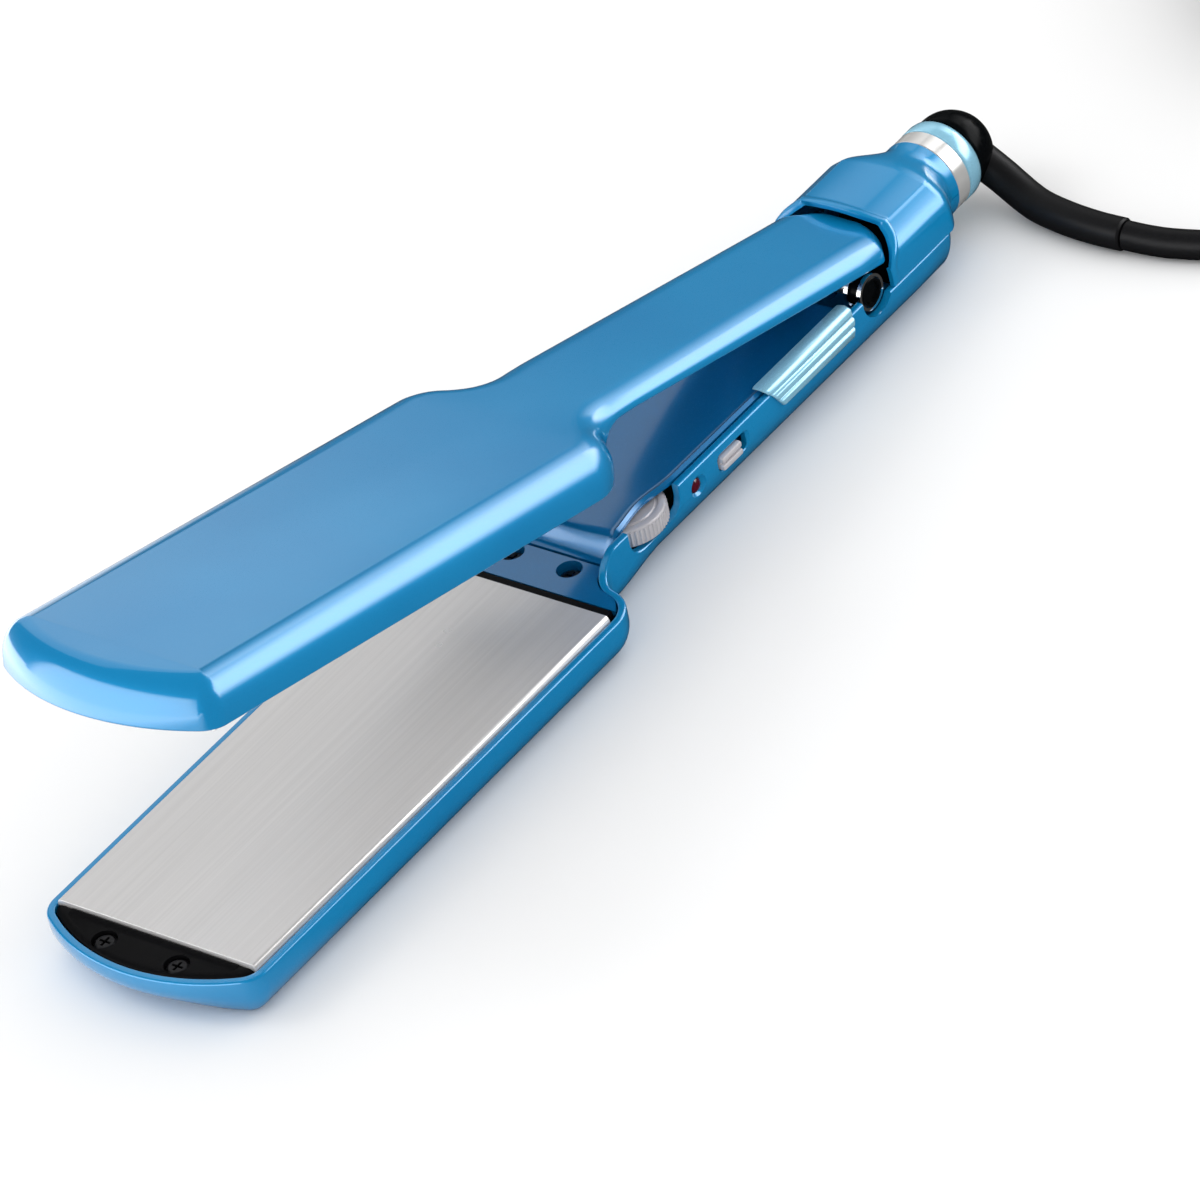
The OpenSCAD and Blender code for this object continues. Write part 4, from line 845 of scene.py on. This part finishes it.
class IRON_OT_cord(bpy.types.Operator):
    """Mains cord with its coil, tie and plug"""
    bl_idname = "iron.cord"
    bl_label = "Cord"

    def execute(self, context):
        diameter = sizes().cord_diameter
        coil = coil_route(diameter)
        end = [coil[-1] + Vector(q) for q in END_STEPS]
        route = spline(LEAD_ROUTE, 4) + coil[1:] + spline(end, 4)[1:]
        data = bpy.data.curves.new("mains_cord", "CURVE")
        data.dimensions = "3D"
        line = data.splines.new("POLY")
        line.points.add(len(route) - 1)
        for point, q in zip(line.points, route):
            point.co = (*(q * MM), 1)
        data.bevel_depth = diameter / 2 * MM
        data.bevel_resolution = 5
        data.use_fill_caps = True
        cord = new_object("mains_cord", data)
        data.materials.append(finish("cord rubber"))
        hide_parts("cord_lead", "cord_coil", "cord_end")
        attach(cord, "swivel")
        tie, plug, blades = self.tie(), self.plug(end[-1]), self.blades(end[-1])
        return {"FINISHED"}

    def tie(self):
        """Strap round the turns."""
        low, high = box_mm("cord_tie")
        y = (low.y + high.y) / 2

        def loop(inset, half):
            outline = rounded_box(low.x + 0.1, high.x - 0.1, low.z + 0.05, high.z - 0.1, 2.6, inset)
            return [(u, y + half, v) for u, v in outline]
        section = [(0, 4.6), (0.25, 4.95), (0.55, 4.95), (0.8, 4.6)]
        around = [loop(inset, -half) for inset, half in section]
        around += [loop(inset, half) for inset, half in reversed(section)]
        rings = list(zip(*around))
        band = loft(rings + rings[:1])
        return piece_of("cord_strap", [band], "swivel", "black moulding", "cord_tie")

    def plug(self, at):
        """Two-blade plug with a ribbed grip and a bend relief, lying along X."""
        x, y, z = at.x - 0.2, at.y, at.z
        stations = [(0, 4, 4, 2), (1, 4.3, 4.3, 2), (13, 5.9, 5.9, 2), (14, 6.3, 6.3, 2),
                    (15.2, 8.8, 8.2, 2.6), (18, 11, 9.4, 3.4), (22, 11.8, 9.9, 4), (35, 11.8, 9.9, 4),
                    (37.2, 11.5, 9.6, 4), (38, 10.6, 8.8, 4)]
        rings = []
        for depth, w, h, power in stations:
            middle = z - 0.6 * ease(14, 20, depth)
            ring = []
            for c, d in circle(64):
                r = (abs(c / w) ** power + abs(d / h) ** power) ** (-1 / power)
                ring.append((x - depth, y + r * c, middle + r * d))
            rings.append(ring)
        grooves = []
        for k in range(5):
            rear = x - 24.1 - 2.6 * k
            for side in (y - 14, y + 11.2):
                grooves.append(block((rear, side, z - 7), (rear + 1.1, side + 2.8, z + 6)))
        piece = cut(solid("mains_plug", [hull(rings)]), *grooves)
        return finish_piece(piece, "swivel", "cord rubber", "plug_body")

    def blades(self, at):
        x0 = at.x - 38.25
        parts = []
        for y in (at.y - 6.35, at.y + 6.35):
            rings = [[(x, y + u, at.z + v) for u, v in ((-w, -h), (w, -h), (w, h), (-w, h))]
                     for x, w, h in ((x0, 0.75, 3.15), (x0 - 14.8, 0.75, 3.15), (x0 - 15.9, 0.35, 2.5))]
            parts.append(hull(rings))
        return piece_of("plug_pins", parts, "swivel", "gilt contact", "plug_blades", 20)


class IRON_OT_swivel(bpy.types.Operator):
    """Swivel head, strain relief, chrome ring and collar"""
    bl_idname = "iron.swivel"
    bl_label = "Swivel"

    def execute(self, context):
        neck = sizes().neck_radius
        ring, collar = box_mm("chrome_ring"), box_mm("tail_collar")

        r, flat, bore = neck - 0.7, 1.4, 3.6
        dome_x = collar[1].x + 0.1
        profile = [(0, bore), (0, r - 0.35), (0.1, r - 0.1), (0.35, r), (flat, r)]
        profile += [(flat + r * sin(radians(a)), r * cos(radians(a))) for a in steps(4, 90, 24)[:-1]]
        profile += [(flat + r, 0.02), (flat + 2, 0.02), (flat + 2, bore)]
        self.turned("swivel_dome", profile, dome_x, "swivel", "swivel gloss", None, "black_plastic")
        r, long = 6.05, dome_x + 2 - JOURNAL_X
        spigot = [(0, bore), (0, r - 0.4), (0.4, r), (1.2, r), (1.2, r - 0.8), (2.2, r - 0.8), (2.2, r),
                  (long, r), (long, bore)]
        self.turned("swivel_journal", spigot, JOURNAL_X, "swivel", "black moulding", "swivel_head",
                    "black_plastic")

        route = spline(RELIEF_ROUTE, 8)
        radii = steps(4.1, 3.7, len(route) - 1)
        radii[0] -= 0.35
        radii[-1] -= 0.35
        piece_of("bend_relief", [tube(route, radii, 40)], "swivel", "cord rubber", "strain_relief")

        long = ring[1].x - ring[0].x
        band = [(0, NECK_LINER), (0, neck - 0.6), (0.12, neck - 0.25), (0.35, neck - 0.1)]
        band += [(long - u, r) for u, r in reversed(band)]
        self.turned("neck_ring", band, ring[0].x, "base", "chrome", "chrome_ring", "chrome", 128)
        long, lip = collar[1].x - collar[0].x, NECK_LINER - 0.8
        sleeve = [(0, NECK_LINER), (0, neck - 0.5), (0.15, neck - 0.15), (0.45, neck), (long - 2.2, neck),
                  (long - 1.2, neck - 0.2), (long - 0.5, neck - 0.7), (long - 0.12, neck - 1.15),
                  (long, neck - 1.5), (long, lip), (long - 0.45, lip), (long - 0.45, NECK_LINER)]
        self.turned("neck_collar", sleeve, collar[0].x, "base", "light pearl trim", "tail_collar",
                    "light_trim", 128)
        return {"FINISHED"}

    def turned(self, name, profile, x, body, look, node, slot, segments=96):
        """A piece of closed (length, radius) points turned about the swivel's axis, from x."""
        rings = [[(x + h, r * d, SWIVEL_Z + r * c) for c, d in circle(segments)]
                 for h, r in [*profile, profile[0]]]
        piece_of(name, [loft(rings)], body, look, node)


class IRON_OT_lower_shell(bpy.types.Operator):
    """Shell of the lower arm with its dial slot, lamp hole and switch window"""
    bl_idname = "iron.lower_shell"
    bl_label = "Lower shell"

    def execute(self, context):
        s = sizes()
        face, outside = s.face_height, -s.half
        wheel, lamp, button = box_mm("temperature_dial"), box_mm("indicator_lamp"), box_mm("power_button")
        wheel_x, lamp_x = ((low.x + high.x) / 2 for low, high in (wheel, lamp))

        def slot(grow, drop):
            half, low = DIAL_SLOT_HALF + grow, wheel[0].z - 0.6 - drop
            edge = [(half * u, lerp(low, face + 0.4, 1 - sqrt(1 - u ** 4))) for u in steps(-1, 1, 28)]
            return [(wheel_x + u, v) for u, v in [(-half, face + 8), *edge, (half, face + 8)]]

        def window(grow, r):
            return rounded_box(button[0].x - 0.4 - grow, button[1].x + 2.8 + grow, button[0].z - 0.3 - grow,
                               button[1].z + 0.3 + grow, r)

        def flared(wide, y0, narrow, y1):
            ends = ((wide, y0), (narrow, y1))
            return hull([[(u, outside + y, v) for u, v in outline] for outline, y in ends])
        hole = LAMP_RADIUS + 0.1
        lamp_hole = [(0, 0.01), (5, 0.01), (5, hole), (1.35, hole), (1.1, hole + 0.25), (0.7, hole + 0.8),
                     (0, hole + 1.2)]
        piece = cut(solid("lower_casing", [loft([lower_section(s, p) for p in lower_outline(s)], "strip")]),
                    prism(slot(0, 0), outside - 2, outside + 2.2, True),
                    flared(slot(1.3, 1.3), -1, slot(0, 0), 0.25),
                    prism(window(0, 1.1), outside - 2, outside + 3.2, True),
                    flared(window(1.1, 2.1), -0.4, window(0.1, 1.2), 0.55),
                    spin(lamp_hole, (lamp_x, outside - 0.4, face - 1.2), Y_AXIS, 48),
                    rod(s.handle_width + 4, 5.2, (HINGE_X, outside - 2, s.hinge_z), Y_AXIS, 64))
        finish_piece(piece, "base", "pearl shell", "lower_shell", 34)
        return {"FINISHED"}


class IRON_OT_upper_shell(bpy.types.Operator):
    """Shell of the upper arm"""
    bl_idname = "iron.upper_shell"
    bl_label = "Upper shell"

    def execute(self, context):
        s = sizes()
        casing = loft([upper_section(s, p) for p in upper_outline(s)], "strip")
        place = raise_upper(s) @ Matrix.Translation((0, 0, -s.upper_depth))
        piece_of("upper_casing", [casing], "upper_arm", "pearl shell", "upper_shell", 34, place)
        return {"FINISHED"}


class IRON_OT_hood(bpy.types.Operator):
    """Hood over the hinge"""
    bl_idname = "iron.hood"
    bl_label = "Hinge hood"

    def execute(self, context):
        s = sizes()
        half, top, foot = s.half, s.hood_top, s.seam_z + 0.2
        sweep = [(0, 5.1), (0.6, 5.3), (1.7, 6.1), (3.3, 5.1), (4.9, 3.3), (6.7, 1.4), (8.6, 0)]
        flank = [(0, foot - top), (0, -11.2), (0.05, -9.6), (0.25, -7.8), (0.65, -6.1), (1.7, -4.6),
                 (3.4, -3.2), (5.1, -2)]
        curve = [tuple(q) for q in spline([(half - u, v) for u, v in flank], 3)]
        curve += [(half - 5.35, -1.75), (half - 5.6, -1.6), (half - 6.2, -1.42)]
        curve += [(u, -1.42 * (u / (half - 6.2)) ** 2.3) for u in steps(half - 7.2, 0, 8)]

        def section(wall, swell):
            points = []
            for u, v in curve:
                side, down = (0.95, 0) if v < -8 else (0.8, 0.75)
                u = max(0, u - wall * side) if u > 1 else u
                points.append((u + swell / 2 * (u > 8), v - wall * down + swell))
            return [(-u, v) for u, v in points] + points[-2::-1]
        front = [(-0.1, -0.25), (0.1, 0.05), (0.4, 0.2), (0.9, 0.25), (1.4, 0.2), (1.75, 0.08), (1.9, 0),
                 (2.4, 0), (6, 0), (12, 0)]
        stations = [(HOOD_X + x, swell) for x, swell in front]
        stations += [(x, 0) for x in steps(HOOD_REAR - 3, NECK_END, 28)]
        reach = 180 - degrees(acos((SWIVEL_Z - foot) / s.neck_radius))
        rings = []
        for x, swell in stations:
            swept = 1 - ease(HOOD_X + 3, HOOD_REAR - 3, x)
            out = section(0, swell)
            back = [x + swept * table(-v, sweep) for u, v in out]
            ring = [(b, u, top + v) for b, (u, v) in zip(back, out)]
            ring += [(b, u, top + v) for b, (u, v) in zip(back, section(1.3, 0))][::-1]
            if x > HOOD_REAR:
                ring = rounded(s, ring, ease(HOOD_REAR - 1, NECK_END - 2, x), reach, 1)
            rings.append(ring)
        housing = loft(rings, "strip", "strip")
        piece_of("hinge_housing", [housing], "base", "pearl shell", "hinge_hood", 30)
        return {"FINISHED"}


class IRON_OT_handle_cover(bpy.types.Operator):
    """Dished cover inside the lower handle, with its land behind the plate"""
    bl_idname = "iron.handle_cover"
    bl_label = "Handle cover"

    def execute(self, context):
        s = sizes()
        land, edge = s.face_height - 0.8, s.face_height + 4.2
        inset = s.wall + COVER_GAP
        side = [(x - nx * inset, y - ny * inset) for x, y, nx, ny in lower_outline(s)]
        side = [(x, y) for x, y in side if 2.2 <= x <= 14.6]
        outline = side + [(x, -y) for x, y in reversed(side)]

        def section(x):
            half = s.half - inset - 1.3 * ease(19, 30, x) * (1 - ease(30, 41, x))
            rise = ease(14.6, 20.6, x)
            points = []
            for u in steps(-1, 1, 40):
                lip = 0.35 * (1 - min(1, abs(abs(u) - 0.95) / 0.05)) - 0.25 * (abs(u) == 1)
                points.append((x, half * u, lerp(land, edge, rise) + rise * (lip - 0.3 - 0.6 * (1 - u * u))))
            return points + [(x, y, z - 1 + 0.3 * rise) for x, y, z in reversed(points)]
        stations = steps(14.55, 21, 16) + steps(22, 42, 24) + [60, 80, 103.5]
        dish = [hull([section(x) for x in stations])]
        wells = []
        for y in (-NECK_SCREW_Y, NECK_SCREW_Y):
            wells.append(rod(8, 2.9, (NECK_SCREW_X, y, land - 4), Z_AXIS))
            cup = [(0, 1.5), (0, 3.7), (3.1, 3.9), (3.35, 3.55), (3.4, 2.95), (1, 2.9), (1, 1.5)]
            dish.append(spin(cup, (NECK_SCREW_X, y, land - 4.2), Z_AXIS, 48))
        piece = cut(solid("handle_inlay", [prism(outline, land - 1, land)]), *wells)
        joined(piece, make_mesh("dish", dish))
        finish_piece(piece, "base", "inner cover gloss", "handle_cover", 34)
        return {"FINISHED"}


class IRON_OT_grips(bpy.types.Operator):
    """Ridged grip panels over the lower handle's edges"""
    bl_idname = "iron.grips"
    bl_label = "Grips"

    def execute(self, context):
        s = sizes()
        half = s.half
        hook = -s.wall - COVER_GAP - 1.5
        outer = [(0.2, -1.4), (0.65, -1.3), (0.9, -0.8), (1.05, 0), (1.1, 0.5), (0.75, 0.85), (0.55, 1.05),
                 (0.75, 1.3), (1.05, 1.6), (1.05, 2.3), (0.9, 2.8), (0.45, 3.1), (0.2, 3.4), (0.25, 3.75),
                 (0.35, 4.1), (-0.1, 4.75), (-0.7, 5.2), (-2, 5.5), (hook, 5.25)]
        outer = spline([(half + u, v) for u, v in outer], 3)
        inner = [(0.1, -1.4), (0.1, 1.2), (0.1, 3.7), (-0.8, 4.4), (-2.2, 4.5), (hook, 4.5)]
        inner = resampled([(half + u, v) for u, v in inner], len(outer))
        ends = [(GRIP_FRONT, 4.6, 0.35), (GRIP_FRONT + 0.25, 4.6, 0.1), (GRIP_FRONT + 0.6, 4.6, 0),
                (GRIP_REAR - 0.5, -1.5, 0), (GRIP_REAR, -1.5, 0.3)]
        for side, name, node in ((-1, "grip_left", "near_grip"), (1, "grip_right", "far_grip")):
            rings = []
            for x, slant, shrink in ends:
                ring = [(v, u - shrink * (u > half), v - shrink * (v > 4)) for u, v in outer]
                ring += [(v, u, v) for u, v in reversed(inner)]
                rings.append([(x + slant * (5.5 - level) / 6.9, side * u, s.face_height + v)
                              for level, u, v in ring])
            grip = loft(rings, "strip", "strip")
            piece_of(name, [grip], "base", "light pearl trim", node, 40)
        return {"FINISHED"}


class IRON_OT_plates(bpy.types.Operator):
    """Heated plates and the black tip caps"""
    bl_idname = "iron.plates"
    bl_label = "Plates and tip caps"

    def execute(self, context):
        s = sizes()
        half, edge, long = s.plate_width / 2, s.plate_edge, s.plate_length
        profile = [(half + edge * sin(radians(a)), 1.5 * cos(radians(a)) - 1.5) for a in steps(0, 90, 14)]
        under = ((0, -2.7), (0.15, -2.9), (0.75, -2.9), (0.9, -2.7), (0.9, -1.6))
        profile += [(half + edge - u, v) for u, v in under]
        profile += [(-u, v) for u, v in reversed(profile)]
        ends = ((0, 0.12), (-0.04, 0.04), (-0.12, 0), (0.12 - long, 0), (0.04 - long, 0.04), (-long, 0.12))
        rings = []
        for x, shrink in ends:
            rings.append([(x, u - shrink * ((u > half + 0.5) - (u < -half - 0.5)), v - shrink * (v > -0.4))
                          for u, v in profile])
        for arm, body, place, drop in (
                ("lower", "base", Matrix.Translation((0, 0, s.face_height)), s.lower_rim_drop),
                ("upper", "upper_arm", raise_upper(s), s.upper_rim_drop)):
            piece_of(arm + "_heat_plate", [hull(rings)], body, "coated plate", arm + "_plate", 25,
                     place)
            piece = moved(self.cap(s, arm + "_end_cap", drop), place)
            finish_piece(piece, body, "black moulding", arm + "_tip_cap", 30)
        return {"FINISHED"}

    def cap(self, s, name, drop):
        """D-shaped cap with a rounded shoulder, a raised band beside the plate and two screw wells."""
        end = -s.plate_length - PLATE_GAP
        low = min(-drop - 0.3, -2.1)
        levels = [(2, -6.4), (2, low - 0.9), (0, low - 0.88), (0, low)]
        levels += [(1.8 - 1.8 * cos(radians(a)), lerp(low, low * 0.55, sin(radians(a))))
                   for a in steps(15, 90, 8)]
        path = [p for p in lower_outline(s) if p[0] < -60]
        count = None
        rings = []
        for step, z in levels:
            inset = s.wall + COVER_GAP + step
            half = [(min(end, x - nx * inset), y - ny * inset) for x, y, nx, ny in path]
            half = [(end, half[0][1])] + [q for q in half if q[0] < end - 0.001]
            count = count or len(half)
            while len(half) < count:
                half.insert(1, ((half[0][0] + half[1][0]) / 2, half[0][1]))
            half = half[:1] + half[len(half) - count + 1:]
            rings.append([(x, -y, z) for x, y in half] + [(x, y, z) for x, y in reversed(half[:-1])])
        wide = s.plate_width / 2 - 2.8
        slope = [(2.1, -1.9), (1.9, -1.25), (1.6, -1.1), (0.25, -0.85), (0, -0.95), (0, -1.9)]
        band = [[(end - u, y, min(z, top)) for u, z in slope]
                for y, top in ((-wide, -1.4), (0.4 - wide, 0), (wide - 0.4, 0), (wide, -1.4))]
        piece = cut(solid(name, [hull(rings)]), hull(band), operation="UNION")
        holes = []
        for y in (-TIP_SCREW_Y, TIP_SCREW_Y):
            at = Vector((s.tip_x + TIP_SCREW_X, y, -3))
            holes.append(spin([(0, 0.01), (8, 0.01), (8, 2.8), (0.3, 2.8), (0, 2.5)], at, Z_AXIS, 40))
            holes.append(rod(8, 1.4, at - Vector((0, 0, 4.4)), Z_AXIS, 32))
        return cut(piece, *holes)


def cylinder(tree, sides, radius, depth):
    return add(tree, "GeometryNodeMeshCylinder", Vertices=sides, Radius=radius, Depth=depth).outputs[0]


def screw_tree():
    """Pan-head screws with a cross recess, heads up."""
    tree, given = new_tree("pan_head_screws", "Places", "Head radius", "Shank radius", "Length")
    crown = add(tree, "GeometryNodeMeshCone", fill_type="NGON", Vertices=48, Radius_Top=0.0019,
                Radius_Bottom=given["Head radius"], Depth=0.0004)
    rim = cylinder(tree, 48, given["Head radius"], 0.0009)
    shank = cylinder(tree, 24, given["Shank radius"], given["Length"])
    half = add(tree, "ShaderNodeMath", given["Length"], -0.5, operation="MULTIPLY")
    middle = add(tree, "ShaderNodeCombineXYZ", Z=half.outputs[0])
    placed = ((crown.outputs[0], (0, 0, -0.0004)), (rim, (0, 0, -0.00084)), (shank, middle.outputs[0]))
    parts = [add(tree, "GeometryNodeTransform", Geometry=part, Translation=at).outputs[0]
             for part, at in placed]
    bars = [add(tree, "GeometryNodeMeshCube", Size=size).outputs[0]
            for size in ((0.0028, 0.0006, 0.0016), (0.0006, 0.0028, 0.0016))]
    return spread(tree, given, bored(tree, bored(tree, None, *parts), *bars))


def ring_tree():
    """Flat rings about the Y axis."""
    tree, given = new_tree("trim_rings", "Places", "Outer radius", "Width", "Thickness")
    outer = cylinder(tree, 96, given["Outer radius"], given["Thickness"])
    inside = add(tree, "ShaderNodeMath", given["Outer radius"], given["Width"], operation="SUBTRACT")
    hole = cylinder(tree, 96, inside.outputs[0], 0.01)
    return spread(tree, given, bored(tree, outer, hole), (pi / 2, 0, 0))


def wire_tree():
    """Round wire along the mesh's edges."""
    tree, given = new_tree("wound_wire", "Path", "Wire radius")
    line = add(tree, "GeometryNodeMeshToCurve", Mesh=given["Path"])
    profile = add(tree, "GeometryNodeCurvePrimitiveCircle", Resolution=20, Radius=given["Wire radius"])
    wire = add(tree, "GeometryNodeCurveToMesh", Curve=line.outputs[0], Profile_Curve=profile.outputs[0],
               Fill_Caps=True)
    return end_tree(tree, given, wire.outputs[0])


def knurl_tree():
    """Round ridges along Z."""
    tree, given = new_tree("dial_ridges", "Places", "Ridge radius", "Height")
    return spread(tree, given, cylinder(tree, 10, given["Ridge radius"], given["Height"]))


class IRON_OT_screws(bpy.types.Operator):
    """Cross-head screws of the tips and the necks"""
    bl_idname = "iron.screws"
    bl_label = "Screws"

    def execute(self, context):
        s = sizes()
        tree = screw_tree()
        tip = (s.tip_x + TIP_SCREW_X, TIP_SCREW_Y, -1.7)
        lower_neck = (NECK_SCREW_X, NECK_SCREW_Y, -2.7)
        upper_neck = (NECK_SCREW_X + 3, NECK_SCREW_Y, 5.2 - s.upper_depth)
        on_lower, on_upper = Matrix.Translation((0, 0, s.face_height)), raise_upper(s)
        for group, body, (x, y, z), long, place in (
                ("lower_tip", "base", tip, s.face_height - 5.4, on_lower),
                ("upper_tip", "upper_arm", tip, s.upper_depth - 5.4, on_upper),
                ("lower_neck", "base", lower_neck, 5, on_lower),
                ("upper_neck", "upper_arm", upper_neck, 2.9, on_upper)):
            piece = grow(group + "_fixings", tree, "black screw", [(x, -y, z), (x, y, z)],
                         {"Head radius": 2.55, "Shank radius": 1.3, "Length": long})
            finish_piece(moved(piece, place), body, "black screw", group + "_screws", 30)
        return {"FINISHED"}


class IRON_OT_controls(bpy.types.Operator):
    """Temperature dial, power switch and indicator lamp"""
    bl_idname = "iron.controls"
    bl_label = "Controls"

    def execute(self, context):
        self.dial(*box_mm("temperature_dial"))
        self.switch(*box_mm("power_button"), -sizes().half)
        self.lamp(*box_mm("indicator_lamp"))
        return {"FINISHED"}

    def dial(self, low, high):
        """Thumbwheel with a knurled rim and a groove on each face."""
        middle = (low + high) / 2
        r, t = (high.x - low.x) / 2 - 0.02, high.z - low.z
        body = [(0, 1.55), (0, 1.9), (0, r - 2.8), (0.25, r - 2.55), (0.25, r - 2), (0, r - 1.75),
                (0, r - 0.9), (0.15, r - 0.5), (0.5, r - 0.3), (t - 0.5, r - 0.3), (t - 0.15, r - 0.5),
                (t, r - 0.9), (t, r - 1.7), (t - 0.35, r - 1.9), (t - 0.35, r - 2.4), (t, r - 2.6), (t, 2.6),
                (t - 0.2, 2.3), (t - 0.2, 0.02), (3.2, 0.02), (3.2, 1.55)]
        wheel = solid("dial_wheel", [spin(body, (middle.x, middle.y, low.z), Z_AXIS, 144)])
        places = [middle + (r - 0.3) * Vector((c, d, 0)) for c, d in circle(DIAL_RIDGES)]
        ridges = grow("ridges", knurl_tree(), "dial metal", places, {"Ridge radius": 0.3, "Height": t - 1.1})
        joined(wheel, ridges.data)
        bpy.data.objects.remove(ridges)
        finish_piece(wheel, "dial", "dial metal", "temperature_dial", 30)

    def switch(self, low, high, outside):
        """Slider with two rounded bars on a plate, and a peg into the switch."""
        middle = (low + high) / 2

        def bar(y0, y1, z0, z1, r):
            edges = ((y1, 0), (y0 + r, 0), (y0 + r * 0.3, r * 0.3), (y0, r))
            return hull([[(u, y, v) for u, v in rounded_box(low.x, high.x, z0, z1, r, inset * 0.9, 5)]
                         for y, inset in edges])
        peg = block((middle.x - 1.5, outside + 0.9, middle.z - 0.9),
                    (middle.x + 1.5, high.y, middle.z + 0.9))
        parts = [bar(low.y, low.y + 1.2, low.z, middle.z - 0.2, 0.45),
                 bar(low.y, low.y + 1.2, middle.z + 0.2, high.z, 0.45),
                 bar(outside + 0.2, outside + 1, low.z, high.z, 0.5), peg]
        piece_of("switch_slider", parts, "slider", "dial metal", "power_button", 30)

    def lamp(self, low, high):
        """Domed lens with a flange behind the shell."""
        middle, r, long = (low + high) / 2, LAMP_RADIUS, high.y - low.y
        lens = [(0, 0.02), (0.05, 0.6), (0.2, 1.1), (0.5, r - 0.05), (0.7, r), (long - 1.4, r),
                (long - 1.4, r + 0.5), (long - 0.4, r + 0.5), (long - 0.4, r), (long, r), (long, 0.02)]
        piece_of("pilot_lens", [spin(lens, (middle.x, low.y, middle.z), Y_AXIS, 48)], "base", "lamp lens",
                 "indicator_lamp")


class IRON_OT_hinge(bpy.types.Operator):
    """Hinge pin, bushes, trim rings and spring"""
    bl_idname = "iron.hinge"
    bl_label = "Hinge"

    def execute(self, context):
        s = sizes()
        y0, y1 = 10.45, s.half - 1.3
        pin, long = y1 - 1, y1 - y0
        profile = [(0, 0.02), (0, 1.6), (0.3, 2), (2 * pin - 0.3, 2), (2 * pin, 1.6), (2 * pin, 0.02)]
        shaft = spin(profile, (HINGE_X, -pin, s.hinge_z), Y_AXIS, 64)
        piece_of("pivot_pin", [shaft], "base", "spring steel", "hinge_pin")
        bush = [(0, 2.02), (0, 3.5), (long - 0.3, 3.5), (long, 3.2), (long, 2.6), (long - 0.7, 2.5),
                (long - 0.7, 0.02), (long - 1, 0.02), (long - 1, 2.02)]
        parts = [spin(bush, (HINGE_X, side * y0, s.hinge_z), (0, side, 0), 64) for side in (-1, 1)]
        piece_of("pivot_bushes", parts, "base", "swivel gloss", "hinge_bushes")
        places = [(HINGE_X, side * y, s.hinge_z) for side in (-1, 1) for y in (y0 + 0.6, y1 - 0.7)]
        rings = grow("pivot_rings", ring_tree(), "hinge chrome", places,
                     {"Outer radius": 4.2, "Width": 0.68, "Thickness": 1})
        finish_piece(rings, "base", "hinge chrome", "hinge_trim_rings", 40)

        coil, pitch, per_turn = 2.9, 1.3, 40
        turns = []
        for i in range(int(2.25 * per_turn) + 1):
            a = 2 * pi * i / per_turn
            y = 5.2 + pitch * i / per_turn
            turns.append(Vector((HINGE_X + coil * cos(a), y, s.hinge_z + coil * sin(a))))
        path = [turns[0] + Vector((-1.6, 0, -8))] + turns + [turns[-1] + Vector((-8, 0, 0.8))]
        spring = grow("pivot_spring", wire_tree(), "spring steel", path, {"Wire radius": 0.4}, chain=True)
        finish_piece(spring, "base", "spring steel", "hinge_spring", 60)
        return {"FINISHED"}


class IRON_OT_inner_pieces(bpy.types.Operator):
    """Finishes of the inner solids, which are shown as they are"""
    bl_idname = "iron.inner_pieces"
    bl_label = "Inner pieces"

    def execute(self, context):
        looks = {
            "black moulding": ("swivel_bush", "contact_block", "dial_potentiometer", "switch_body",
                               "lower_plate_carrier", "upper_plate_carrier"),
            "spring steel": ("swivel_clip", "lower_heater_clamp", "upper_heater_clamp"),
            "gilt contact": ("contact_rings", "lower_thermal_fuse", "upper_thermal_fuse"),
            "ceramic": ("lower_heater", "upper_heater"),
            "inner cover gloss": ("upper_inner_cover",),
            "circuit board": ("control_board",),
        }
        for look, nodes in looks.items():
            for node in nodes:
                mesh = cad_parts[node].data
                mesh.materials.clear()
                mesh.materials.append(finish(look))
        return {"FINISHED"}


class IRON_PT_panel(bpy.types.Panel):
    """Buttons that make each group of pieces"""
    bl_label = "Straightening Iron"
    bl_idname = "IRON_PT_panel"
    bl_space_type = "VIEW_3D"
    bl_region_type = "UI"
    bl_category = "Straightening Iron"

    def draw(self, context):
        for operator in OPERATORS:
            self.layout.operator(operator.bl_idname)
        for group in (context.scene.iron_sizes, context.scene.iron_colours):
            box = self.layout.box()
            for name in type(group).__annotations__:
                box.prop(group, name)


OPERATORS = [
    IRON_OT_stage, IRON_OT_cord, IRON_OT_swivel, IRON_OT_lower_shell, IRON_OT_upper_shell, IRON_OT_hood,
    IRON_OT_handle_cover, IRON_OT_grips, IRON_OT_plates, IRON_OT_screws, IRON_OT_controls, IRON_OT_hinge,
    IRON_OT_inner_pieces,
]
CLASSES = [IronSizes, IronColours, *OPERATORS, IRON_PT_panel]


def register():
    for item in CLASSES:
        bpy.utils.register_class(item)
    bpy.types.Scene.iron_sizes = bpy.props.PointerProperty(type=IronSizes)
    bpy.types.Scene.iron_colours = bpy.props.PointerProperty(type=IronColours)


def unregister():
    del bpy.types.Scene.iron_colours
    del bpy.types.Scene.iron_sizes
    for item in reversed(CLASSES):
        bpy.utils.unregister_class(item)


def main():
    register()
    for operator in OPERATORS:
        group, name = operator.bl_idname.split(".")
        getattr(getattr(bpy.ops, group), name)()


if __name__ == "__main__":
    main()
